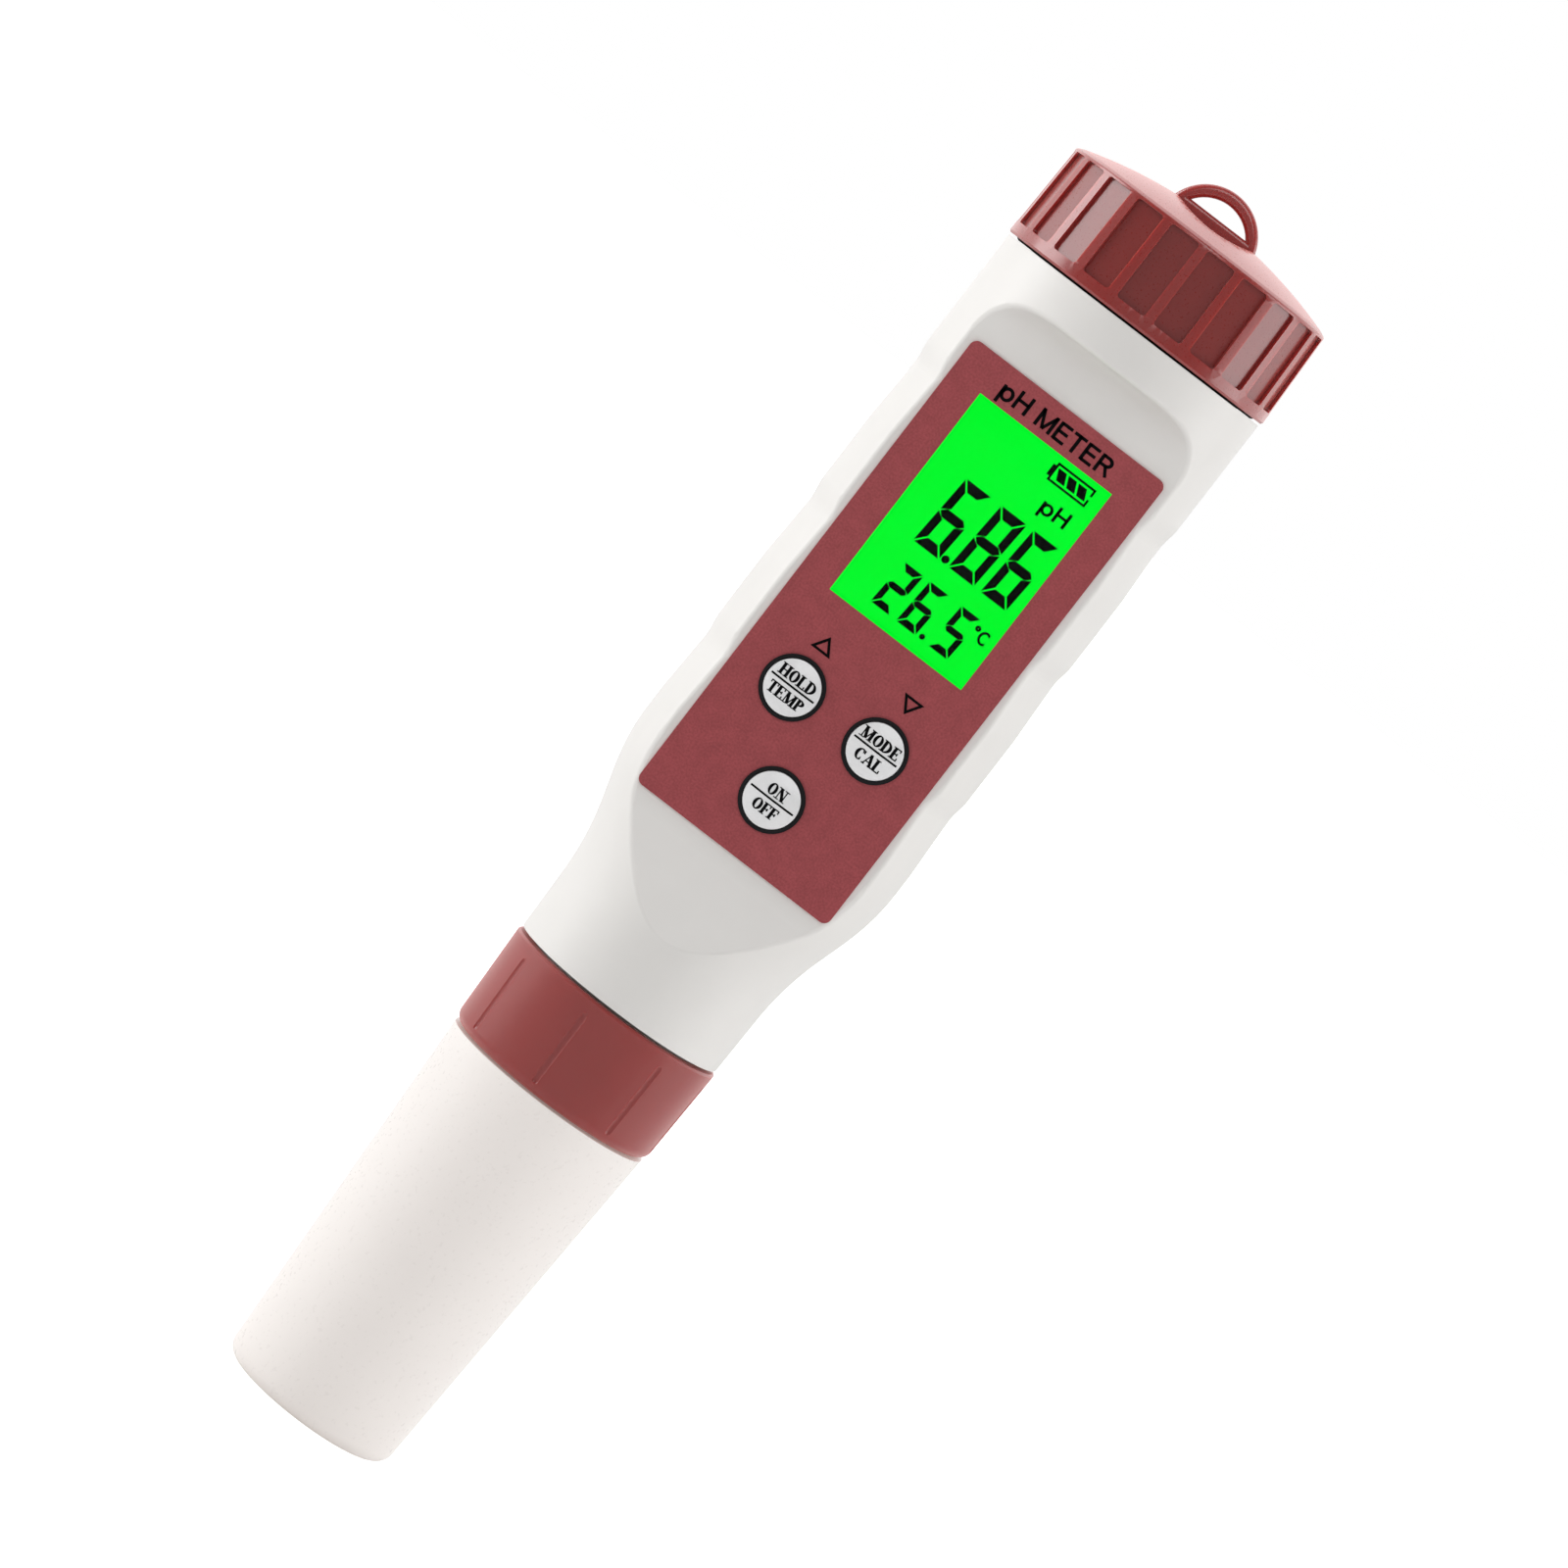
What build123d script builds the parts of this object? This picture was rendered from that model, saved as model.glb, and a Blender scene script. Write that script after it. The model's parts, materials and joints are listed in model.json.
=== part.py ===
from build123d import *
import math
import os

# A pen-type pH meter that stands in its storage cap. Millimetres and degrees.
# +Z runs up the meter's axis from the closed end of the storage cap, and the display faces -Y.

# Storage cap and the sponge in it
storage_length = 49.2
storage_foot_radius = 12.0
storage_mouth_radius = 14.25
storage_wall = 1.8
storage_floor = 2.0
storage_foot_round = 1.8
storage_seat_radius = 11.6
storage_seat_depth = 10.0
sponge_height = 7.0
sponge_gap = 0.3

# Lock collar
collar_gap = 0.2
collar_height = 13.6
collar_bottom_radius = 14.5
collar_top_radius = 14.95
collar_edge_round = 1.4
collar_bore_radius = 13.0
collar_lip_height = 2.0
collar_lip_clearance = 0.2
groove_count = 8
groove_width = 0.9
groove_depth = 0.2
groove_foot = 1.2
groove_head = 1.8
groove_first_angle = -7.8

# Housing
neck_gap = 0.5
housing_length = 102.1
housing_radius = 18.95
neck_bottom_radius = 14.75
neck_top_radius = 14.9
neck_height = 6.5
shoulder_height = 24.0
shoulder_neck_pull = 12.0
shoulder_body_pull = 9.5
wall = 2.0
notch_depth = 0.38
notch_drops = (18.6, 39.6, 60.2)
notch_rise = 2.4
notch_run = 8.5
notch_round = 6.0
spigot_radius = 12.0
spigot_bore = 10.2
spigot_gap = 0.05
battery_neck_step = 3.35
battery_neck_height = 10.4
battery_neck_wall = 1.4

# Flat front with its cove and ramp
cove_radius = 6.5
rim_drop = 5.3
ramp_angle = 19.5
ramp_round = 6.0
scoop_edge_round = 0.7
rim_slack = 0.1

# Label, display window and buttons
label_width = 28.8
label_height = 66.7
label_drop = 12.2
label_thickness = 0.3
label_corner = 1.0
label_margin = 1.1
ramp_below_label = 1.2
window_width = 19.8
window_height = 29.5
window_drop = 4.85
pane_border = 0.6
pane_thickness = 1.6
pane_fit = 0.05
button_radius = 3.5
button_clearance = 0.08
button_proud = 0.55
button_dome = 0.55
button_spacing = 12.48
button_upper_drop = 46.4
button_lower_drop = 58.6
button_flange = 0.8
button_flange_height = 0.8
button_travel = 0.35
seal_width = 0.5
seal_proud = 0.25
plunger_radius = 1.6
plunger_clearance = 0.08
switch_size = 6.0
switch_height = 2.6
switch_well = 1.0

# Display stack and circuit board
lcd_gap = 0.3
lcd_glass_thickness = 0.7
lcd_width = 23.0
lcd_border = 2.8
lcd_ledge = 2.3
guide_thickness = 2.2
reflector_thickness = 0.4
zebra_width = 1.8
bezel_wall = 1.0
bezel_lip = 1.2
bezel_lip_thickness = 0.25
board_width = 24.8
board_thickness = 1.6
board_above_bezel = 4.6
board_below_button = 10.8
screw_head_radius = 1.7
screw_head_height = 1.1
screw_shank_radius = 0.9
screw_shank_length = 3.6
screw_inset_side = 1.8
screw_inset_end = 2.4
post_radius = 2.1
post_length = 4.0
chassis_thickness = 1.6
chassis_half_width = 13.4
shelf_thickness = 2.0
rail_thickness = 1.0
rail_clearance = 0.15

# Battery compartment
cell_radius = 5.8
cell_height = 5.4
cell_gap = 0.05
cell_well_clearance = 0.15
cell_web = 0.4
holder_clearance = 0.3
holder_floor = 2.6
holder_rim_width = 0.4
holder_rim_height = 1.1
spring_height = 2.2
spring_wire = 0.35
spring_radius = 3.4
terminal_thickness = 0.3
lead_radius = 0.6
lead_clearance = 0.3
lead_setback = 0.6
lead_landing = 5.0
lead_bend_share = 0.45

# Battery cap
battery_gap = 0.3
battery_cap_overhang = 0.25
battery_cap_taper = 0.4
battery_cap_skirt = 13.2
battery_cap_bore_clearance = 1.0
battery_cap_band = 1.6
battery_cap_roof = 1.6
dome_rise = 2.8
dome_edge = 0.8
skirt_edge_drop = 0.4
shoulder_round = 0.4
foot_step = 0.2
foot_rise = 0.3
flute_rim = 0.75
flute_corner = 0.45
flute_count = 22
flute_panel_angle = 12.4
flute_depth = 0.55
flute_first_angle = 2.0
loop_half_width = 6.05
loop_height = 4.4
loop_sink = 0.3
loop_foot = 1.4
loop_step = 0.3
loop_opening_half_width = 4.1
loop_opening_height = 2.15
loop_thickness = 2.6
loop_edge_round = 0.7
loop_opening_round = 0.5
thumb_half_width = 5.8
thumb_dip = 1.15
thumb_drop = 0.2
thumb_overlap = 0.25
seal_section = 0.6
seal_land = 0.25
seal_clearance = 0.05
liner_thickness = 0.4
contact_plate_radius = 12.0
contact_plate_thickness = 0.5

# Screw threads
thread_height = 0.7
thread_root_width = 1.0
thread_tip_width = 0.5
thread_embed = 0.25
thread_turns = 2.0
collar_pitch = 2.5
battery_cap_pitch = 3.0
thread_lead_in = 1.6

# Electrode
plug_clearance = 0.25
plug_bottom_inset = 1.6
plug_seal_radius = 0.55
plug_seal_clearance = 0.05
plug_seal_rise = 5.0
flange_height = 2.0
flange_radius = 12.1
gasket_thickness = 1.0
boss_clearance = 0.3
boss_height = 8.5
connector_radius = 5.5
connector_height = 3.6
pin_radius = 0.45
pin_length = 6.0
pin_circle = 3.2
pin_count = 5
barrel_radius = 6.5
barrel_bottom = 26.0
stem_radius = 3.6
stem_wall = 0.6
bulb_radius = 3.9
bulb_height = 21.0
reference_radius = 0.45
sensor_radius = 0.8
sensor_offset = 5.3
sensor_tip = 19.0
junction_radius = 0.8
junction_length = 2.5
guard_radius = 8.0
guard_clearance = 0.05
guard_bottom = 15.0
guard_top = 33.0
guard_slot_count = 4
guard_slot_width = 4.5
guard_slot_top = 25.0
socket_radius = 7.0
socket_gap = 0.4
socket_height = 13.5
contact_wall = 0.3
contact_clearance = 0.08
ribbon_width = 6.0
ribbon_thickness = 0.3
ribbon_clearance = 0.3
ribbon_rise = 0.5
ribbon_lap_start = 1.5
ribbon_lap_end = 6.0

# Heights and depths that follow from the sizes above
collar_bottom = storage_length + collar_gap
collar_top = collar_bottom + collar_height
housing_bottom = collar_top + neck_gap
housing_top = housing_bottom + housing_length
face_distance = math.sqrt(housing_radius ** 2 - (label_width / 2 + label_margin) ** 2)
label_top = housing_top - label_drop
label_bottom = label_top - label_height
window_top = label_top - window_drop
window_bottom = window_top - window_height
window_middle = (window_top + window_bottom) / 2
button_upper = label_top - button_upper_drop
button_lower = label_top - button_lower_drop
ramp_start = label_bottom - ramp_below_label
rim_height = housing_top - rim_drop
cove_height = rim_height - cove_radius

flange_bottom = collar_bottom + collar_lip_height + collar_gap
flange_top = flange_bottom + flange_height
gasket_top = flange_top + gasket_thickness
spigot_bottom = gasket_top + spigot_gap
boss_top = flange_top + boss_height
connector_top = boss_top + connector_height
socket_bottom = connector_top + socket_gap
socket_top = socket_bottom + socket_height
plug_radius = storage_seat_radius - plug_clearance
plug_bottom = storage_length - storage_seat_depth + plug_bottom_inset

face_y = -face_distance
inner_face_y = face_y + wall
glass_front_y = inner_face_y + lcd_gap
glass_middle_y = glass_front_y + lcd_glass_thickness
glass_back_y = glass_middle_y + lcd_glass_thickness
guide_back_y = glass_back_y + guide_thickness
board_front_y = guide_back_y + reflector_thickness
board_back_y = board_front_y + board_thickness
plate_front_y = board_back_y + post_length
plate_back_y = plate_front_y + chassis_thickness
bezel_top = window_top + lcd_border + bezel_wall
bezel_bottom = window_bottom - lcd_border - bezel_wall
board_top = bezel_top + board_above_bezel
board_bottom = button_lower - board_below_button
button_hole_radius = button_radius + button_clearance
screw_x = board_width / 2 - screw_inset_side

battery_neck_radius = housing_radius - battery_neck_step
battery_neck_bore = battery_neck_radius - battery_neck_wall
battery_neck_top = housing_top + battery_neck_height
holder_radius = battery_neck_bore - holder_clearance
holder_top = battery_neck_top - 0.1
battery_cap_bottom = housing_top + battery_gap
battery_cap_radius = housing_radius + battery_cap_overhang
battery_cap_bore = battery_neck_radius + battery_cap_bore_clearance
skirt_top = battery_cap_bottom + battery_cap_skirt
dome_radius = battery_cap_radius - battery_cap_taper - dome_edge
dome_top = skirt_top + dome_rise
roof_under = skirt_top - battery_cap_roof
contact_plate_bottom = roof_under - liner_thickness - contact_plate_thickness
cells_top = contact_plate_bottom - cell_gap
cells_bottom = cells_top - 2 * cell_height - cell_gap
well_bottom = cells_bottom - spring_height - terminal_thickness
holder_bottom = well_bottom - holder_floor
cell_x = cell_radius + cell_well_clearance + cell_web / 2
lead_y = -lead_setback


def disc(radius, bottom, top):
    return Pos(0, 0, bottom) * extrude(Circle(radius), top - bottom)


def ring(outer, inner, bottom, top):
    return Pos(0, 0, bottom) * extrude(Circle(outer) - Circle(inner), top - bottom)


def spun(points):
    """A solid of revolution about the axis, from its outline as radius and height."""
    return revolve(make_face(Plane.XZ * Polyline(*points, close=True)), Axis.Z)


def block(width, front, back, bottom, top, x=0.0):
    """A block of the given width about x, from its front to its back and its bottom to its top."""
    centre = Pos(x, (front + back) / 2, (bottom + top) / 2)
    return centre * Box(width, back - front, top - bottom)


def rod_y(radius, front, back, x, height):
    """A round rod along Y."""
    return Plane(origin=(x, front, height), z_dir=(0, 1, 0)) * extrude(Circle(radius), back - front)


def ridge(wall_radius, direction, start, pitch):
    """One right-hand thread ridge on a wall; direction is 1 outwards and -1 inwards."""
    root = wall_radius - direction * thread_embed
    tip = wall_radius + direction * thread_height
    outline = Polyline(
        (root, -thread_root_width / 2), (tip, -thread_tip_width / 2),
        (tip, thread_tip_width / 2), (root, thread_root_width / 2), close=True)
    path = Helix(pitch, pitch * thread_turns, wall_radius)
    return Pos(0, 0, start) * sweep(make_face(Plane.XZ * outline), path=path, is_frenet=True)


def storage_radius(height):
    """Outer radius of the storage cap's straight taper."""
    share = height / storage_length
    return storage_foot_radius + share * (storage_mouth_radius - storage_foot_radius)


def make_storage_cap():
    outline = spun([(0, 0), (storage_radius(0), 0), (storage_radius(storage_length), storage_length),
                    (0, storage_length)])
    shell = fillet(outline.edges().sort_by(Axis.Z)[0], storage_foot_round)
    seat_bottom = storage_length - storage_seat_depth
    cavity_top = seat_bottom - 2.0
    cavity = spun([(0, storage_floor), (storage_radius(storage_floor) - storage_wall, storage_floor),
                   (storage_radius(cavity_top) - storage_wall, cavity_top),
                   (storage_seat_radius, seat_bottom), (storage_seat_radius, storage_length + 1),
                   (0, storage_length + 1)])
    return shell - cavity


def make_soaking_sponge():
    radius = storage_radius(storage_floor) - storage_wall - sponge_gap
    return disc(radius, storage_floor, storage_floor + sponge_height)


def make_electrode_body():
    outline = spun([(0, barrel_bottom), (barrel_radius, barrel_bottom), (barrel_radius, plug_bottom - 2.0),
                    (plug_radius - 1.5, plug_bottom), (plug_radius, plug_bottom + 1.5),
                    (plug_radius, flange_bottom), (flange_radius, flange_bottom),
                    (flange_radius, flange_top), (spigot_bore - boss_clearance, flange_top),
                    (spigot_bore - boss_clearance, boss_top), (connector_radius, boss_top),
                    (connector_radius, connector_top), (0, connector_top)])
    stem_bore = disc(stem_radius, barrel_bottom, flange_bottom)
    groove_floor = storage_seat_radius - 2 * plug_seal_radius - 2 * plug_seal_clearance
    groove_half = plug_seal_radius + plug_seal_clearance
    seal_height = plug_bottom + plug_seal_rise
    groove = ring(plug_radius + 1, groove_floor, seal_height - groove_half, seal_height + groove_half)
    junction = Pos(sensor_offset, 0, barrel_bottom) * extrude(Circle(junction_radius), junction_length)
    sensor = Pos(-sensor_offset, 0, barrel_bottom) * extrude(Circle(sensor_radius), 2 * junction_length)
    holes = [Pos(*place, connector_top - 2) * extrude(Circle(pin_radius), 3) for place in pin_places()]
    return outline - stem_bore - groove - junction - sensor - Compound(holes)


def pin_places():
    """The connector's pins stand evenly round a circle."""
    turns = [2 * math.pi * n / pin_count for n in range(pin_count)]
    return [(pin_circle * math.sin(turn), pin_circle * math.cos(turn)) for turn in turns]


def make_connector_pins():
    pins = [Pos(*place, connector_top - 2) * extrude(Circle(pin_radius), 2 + pin_length)
            for place in pin_places()]
    return Compound([fillet(pin.edges().sort_by(Axis.Z)[-1], pin_radius * 0.6) for pin in pins])


def make_probe_seal():
    centre = storage_seat_radius - plug_seal_clearance - plug_seal_radius
    return Pos(0, 0, plug_bottom + plug_seal_rise) * Torus(centre, plug_seal_radius)


def make_collar_gasket():
    return ring(flange_radius, spigot_bore - boss_clearance, flange_top, gasket_top)


def make_glass_bulb():
    stem_top = flange_bottom
    outer = Pos(0, 0, bulb_height) * Sphere(bulb_radius) + disc(stem_radius, bulb_height, stem_top)
    inner = (Pos(0, 0, bulb_height) * Sphere(bulb_radius - stem_wall)
             + disc(stem_radius - stem_wall, bulb_height, stem_top - stem_wall))
    return outer - inner


def make_reference_wire():
    return disc(reference_radius, bulb_height, flange_bottom - stem_wall)


def make_reference_junction():
    return Pos(sensor_offset, 0, barrel_bottom) * extrude(Circle(junction_radius), junction_length)


def make_temperature_sensor():
    length = barrel_bottom + 2 * junction_length - sensor_tip
    pin = Pos(-sensor_offset, 0, sensor_tip) * extrude(Circle(sensor_radius), length)
    return fillet(pin.edges().sort_by(Axis.Z)[0], sensor_radius * 0.6)


def make_probe_guard():
    inner = barrel_radius + guard_clearance
    sleeve = ring(guard_radius, inner, guard_bottom, guard_top)
    sleeve = chamfer(sleeve.edges().filter_by(GeomType.CIRCLE).sort_by(Axis.Z)[-1], 0.5)
    for n in range(guard_slot_count):
        slot = Rot(0, 0, 45 + 360 / guard_slot_count * n) * Pos(inner, 0, guard_bottom)
        width = slot * Box(2 * inner, guard_slot_width, 2 * (guard_slot_top - guard_bottom))
        sleeve -= width
    return sleeve


def collar_radius(height):
    share = (height - collar_bottom) / collar_height
    return collar_bottom_radius + share * (collar_top_radius - collar_bottom_radius)


def make_lock_collar():
    outside = spun([(0, collar_bottom), (collar_bottom_radius, collar_bottom),
                    (collar_top_radius, collar_top), (0, collar_top)])
    rim = outside.edges().filter_by(GeomType.CIRCLE).sort_by(Axis.Z)
    outside = fillet(rim[0], collar_edge_round)
    rim = outside.edges().filter_by(GeomType.CIRCLE).sort_by(Axis.Z)
    outside = chamfer(rim[-1], 0.3)
    half = groove_width / 2
    channel = (half ** 2 + groove_depth ** 2) / (2 * groove_depth)
    low = collar_bottom + groove_foot + half
    high = collar_top - groove_head - half
    taper = math.degrees(math.atan((collar_top_radius - collar_bottom_radius) / collar_height))
    for n in range(groove_count):
        turn = Rot(0, 0, groove_first_angle - 90 + 360 / groove_count * n)
        place = turn * Pos(collar_radius(low) - groove_depth + channel, 0, low) * Rot(0, taper, 0)
        outside -= place * (extrude(Circle(channel), high - low) + Sphere(channel)
                            + Pos(0, 0, high - low) * Sphere(channel))
    lip_hole = disc(plug_radius + collar_lip_clearance, collar_bottom - 1, collar_top)
    bore = disc(collar_bore_radius, collar_bottom + collar_lip_height, collar_top + 1)
    shell = outside - lip_hole - bore
    start = spigot_bottom + thread_lead_in + collar_pitch / 2
    return shell + ridge(collar_bore_radius, -1, start, collar_pitch)


def shoulder_curve(inset):
    """The soft step between the slim neck and the body, as one curve set in by the wall."""
    low = housing_bottom + neck_height
    high = low + shoulder_height
    neck = neck_top_radius - inset
    body = housing_radius - inset
    return Bezier((neck, low), (neck, low + shoulder_neck_pull), (body, high - shoulder_body_pull),
                  (body, high))


def make_outside():
    """The housing's round outside: neck, shoulder, and a body with three shallow finger notches."""
    low = housing_bottom + neck_height
    notch_radius = housing_radius - notch_depth
    edges = [Line((0, housing_bottom), (neck_bottom_radius, housing_bottom)),
             Line((neck_bottom_radius, housing_bottom), (neck_top_radius, low)), shoulder_curve(0)]
    corner = (housing_radius, low + shoulder_height)
    for drop in sorted(notch_drops, reverse=True):
        height = housing_top - drop
        for point in ((housing_radius, height - notch_run), (notch_radius, height),
                      (housing_radius, height + notch_rise)):
            edges.append(Line(corner, point))
            corner = point
    edges.append(Line(corner, (housing_radius, housing_top)))
    edges.append(Line((housing_radius, housing_top), (0, housing_top)))
    edges.append(Line((0, housing_top), (0, housing_bottom)))
    outline = make_face(Plane.XZ * Wire(edges))
    first = housing_top - max(notch_drops) - notch_run
    last = housing_top - min(notch_drops) + notch_rise
    kinks = [v for v in outline.vertices() if v.X > 1 and first - 0.01 < v.Z < last + 0.01]
    outline = fillet(kinks, notch_round)
    return revolve(outline, Axis.Z)


def front_scoop(inset):
    """What is cut away in front: flat face, cove above it and ramp below it, set in by a wall."""
    half = math.radians(ramp_angle / 2)
    flat = face_y + inset
    outer = -(housing_radius + 3.0)
    foot = ramp_start - inset * math.tan(half)
    ramp_end = foot - (flat - outer) / math.tan(2 * half)
    centre = (face_y - cove_radius, cove_height)
    reach = cove_radius + inset
    middle = (centre[0] + reach * math.cos(math.pi / 4), centre[1] + reach * math.sin(math.pi / 4))
    outline = [Line((outer, ramp_end), (flat, foot)), Line((flat, foot), (flat, cove_height)),
               ThreePointArc((flat, cove_height), middle, (centre[0], centre[1] + reach)),
               Line((centre[0], centre[1] + reach), (outer, centre[1] + reach)),
               Line((outer, centre[1] + reach), (outer, ramp_end))]
    face = make_face(Wire(outline))
    corner = [v for v in face.vertices() if abs(v.X - flat) < 1e-4 and abs(v.Y - foot) < 1e-4]
    face = fillet(corner, ramp_round)
    return extrude(Plane.YZ * face, housing_radius + 3.0, both=True)


def make_cavity():
    """The space inside the housing, from the spigot's bore up to the battery compartment's mouth."""
    low = housing_bottom + neck_height
    high = low + shoulder_height
    body = housing_radius - wall
    roof = housing_top - wall
    slope = body - battery_neck_bore
    edges = [Line((0, spigot_bottom - 1), (spigot_bore, spigot_bottom - 1)),
             Line((spigot_bore, spigot_bottom - 1), (spigot_bore, housing_bottom + wall)),
             Line((spigot_bore, housing_bottom + wall), (neck_top_radius - wall, low)),
             shoulder_curve(wall),
             Line((body, high), (body, roof - slope)),
             Line((body, roof - slope), (battery_neck_bore, roof)),
             Line((battery_neck_bore, roof), (battery_neck_bore, battery_neck_top + 1)),
             Line((battery_neck_bore, battery_neck_top + 1), (0, battery_neck_top + 1)),
             Line((0, battery_neck_top + 1), (0, spigot_bottom - 1))]
    space = revolve(make_face(Plane.XZ * Wire(edges)), Axis.Z)
    rim_seat = disc(battery_neck_bore + holder_rim_width, holder_top - holder_rim_height, battery_neck_top + 1)
    return space - front_scoop(wall) + rim_seat


def make_rails():
    """Two pairs of rails inside the side walls, which the chassis plate slides between."""
    bottom = window_bottom - 20.0
    top = window_top + 4.0
    inner = chassis_half_width - 0.7
    outer = housing_radius - wall / 2
    width = outer - inner
    rails = []
    for side in (-1, 1):
        x = side * (inner + outer) / 2
        front = plate_front_y - rail_clearance
        back = plate_back_y + rail_clearance
        rails.append(block(width, front - rail_thickness, front, bottom, top, x))
        rails.append(block(width, back, back + rail_thickness, bottom, top, x))
    return rails


def is_scoop_rim(edge):
    """True where the flat front, its cove or its ramp meets the round outside."""
    places = [edge @ 0, edge @ 0.5, edge @ 1]
    radii = [math.hypot(place.X, place.Y) for place in places]
    beside = max(abs(place.X) for place in places) > wall / 2
    below_rim = all(housing_bottom + wall / 2 < place.Z < rim_height + rim_slack for place in places)
    in_front = places[1].Y < face_y + rim_slack
    return beside and below_rim and in_front and abs(radii[1] - radii[0]) < 2 * wall


def make_housing():
    shell = make_outside() - front_scoop(0)
    rim = [edge for edge in shell.edges() if is_scoop_rim(edge)]
    shell = fillet(rim, scoop_edge_round)
    shell = shell + disc(spigot_radius, spigot_bottom, housing_bottom + 1)
    shell = shell + disc(battery_neck_radius, housing_top - 1, battery_neck_top)
    shell = shell - make_cavity()
    for rail in make_rails():
        shell = shell + rail
    window = block(window_width + 2 * pane_border, face_y - 1, inner_face_y + 0.5,
                   window_bottom - pane_border, window_top + pane_border)
    shell = shell - window
    for x, height in button_places().values():
        shell = shell - rod_y(button_hole_radius, face_y - 1, inner_face_y + 0.5, x, height)
    shell = shell + ridge(spigot_radius, 1, spigot_bottom + thread_lead_in, collar_pitch)
    shell = shell + ridge(battery_neck_radius, 1, housing_top + 2 * thread_lead_in, battery_cap_pitch)
    return shell


def button_places():
    side = button_spacing / 2
    return {"hold": (-side, button_upper), "mode": (side, button_upper), "power": (0, button_lower)}


def make_face_label():
    place = Plane(origin=(0, face_y, (label_top + label_bottom) / 2), x_dir=(1, 0, 0), z_dir=(0, -1, 0))
    film = place * extrude(RectangleRounded(label_width, label_height, label_corner), label_thickness)
    film -= block(window_width, face_y - 2, face_y + 1, window_bottom, window_top)
    hole = button_hole_radius + seal_width
    for x, height in button_places().values():
        film -= rod_y(hole, face_y - 2, face_y + 1, x, height)
    return film


def make_display_window():
    width = window_width + 2 * (pane_border - pane_fit)
    low = window_bottom - pane_border + pane_fit
    high = window_top + pane_border - pane_fit
    return block(width, face_y, face_y + pane_thickness, low, high)


def make_button_seals():
    rings = []
    for x, height in button_places().values():
        outer = rod_y(button_hole_radius + seal_width, face_y - label_thickness - seal_proud, face_y, x, height)
        rings.append(outer - rod_y(button_hole_radius, face_y - 2, face_y + 1, x, height))
    return Compound(rings)


def make_button(x, height):
    """A domed button on a retaining flange behind the front wall."""
    edge = label_thickness + button_proud
    behind = -wall - button_clearance
    sag = button_dome
    sphere = (button_radius ** 2 + sag ** 2) / (2 * sag)
    middle = button_radius / 2
    rise = math.sqrt(sphere ** 2 - middle ** 2) - (sphere - sag)
    flange = button_radius + button_flange
    edges = [Line((0, behind - button_flange_height), (flange, behind - button_flange_height)),
             Line((flange, behind - button_flange_height), (flange, behind)),
             Line((flange, behind), (button_radius, behind)),
             Line((button_radius, behind), (button_radius, edge)),
             ThreePointArc((button_radius, edge), (middle, edge + rise), (0, edge + sag)),
             Line((0, edge + sag), (0, behind - button_flange_height))]
    turned = revolve(make_face(Wire(edges)), Axis.Y)
    return Pos(x, face_y, height) * Rot(180, 0, 0) * turned


def make_plunger(x, height):
    front = inner_face_y + button_clearance + button_flange_height
    back = board_front_y - switch_height + switch_well - button_travel - 0.15
    return rod_y(plunger_radius, front, back, x, height)


def make_switch_bodies():
    bodies = []
    front = board_front_y - switch_height
    for x, height in button_places().values():
        half = switch_size / 2
        body = block(switch_size, front, board_front_y, height - half, height + half, x)
        well = rod_y(plunger_radius + plunger_clearance, front - 1, front + switch_well, x, height)
        bodies.append(body - well)
    return Compound(bodies)


def make_lcd_front_glass():
    low = window_bottom - lcd_border
    high = window_top + lcd_border
    return block(lcd_width, glass_front_y, glass_middle_y, low, high)


def make_lcd_rear_glass():
    low = window_bottom - lcd_border + lcd_ledge
    high = window_top + lcd_border - lcd_ledge
    return block(lcd_width, glass_middle_y, glass_back_y, low, high)


def make_backlight_guide():
    low = window_bottom - lcd_border + lcd_ledge
    high = window_top + lcd_border - lcd_ledge
    guide = block(lcd_width - 1.0, glass_back_y, guide_back_y, low, high)
    for x in led_places():
        guide -= block(3.4, glass_back_y + 0.4, guide_back_y + 1, high - 1.4, high + 1, x)
    return guide


def led_places():
    return (-lcd_width / 4, lcd_width / 4)


def make_backlight_leds():
    high = window_top + lcd_border - lcd_ledge
    return Compound([block(3.0, glass_back_y + 0.6, guide_back_y, high - 1.2, high - 0.2, x)
                     for x in led_places()])


def make_backlight_reflector():
    low = window_bottom - lcd_border + lcd_ledge
    high = window_top + lcd_border - lcd_ledge
    return block(lcd_width - 1.0, guide_back_y, board_front_y, low, high)


def make_rubber_connectors():
    low = window_bottom - lcd_border + 0.2
    high = window_top + lcd_border - 0.2
    strips = [block(lcd_width - 2.0, glass_middle_y, board_front_y, low, low + zebra_width),
              block(lcd_width - 2.0, glass_middle_y, board_front_y, high - zebra_width, high)]
    return Compound(strips)


def make_lcd_bezel():
    half = lcd_width / 2 + 0.05
    frame = block(2 * (half + bezel_wall), glass_front_y - bezel_lip_thickness, board_front_y,
                  bezel_bottom, bezel_top)
    low = window_bottom - lcd_border - 0.05
    high = window_top + lcd_border + 0.05
    frame -= block(2 * half, glass_front_y, board_front_y + 1, low, high)
    sight = block(2 * (half - bezel_lip), glass_front_y - 1, glass_front_y + 1,
                  low + bezel_lip, high - bezel_lip)
    return frame - sight


def screw_places():
    return [(x, height) for x in (-screw_x, screw_x)
            for height in (board_bottom + screw_inset_end, board_top - screw_inset_end)]


def make_main_board():
    board = block(board_width, board_front_y, board_back_y, board_bottom, board_top)
    for x, height in screw_places():
        board -= rod_y(screw_shank_radius + 0.1, board_front_y - 1, board_back_y + 1, x, height)
    return board


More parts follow.
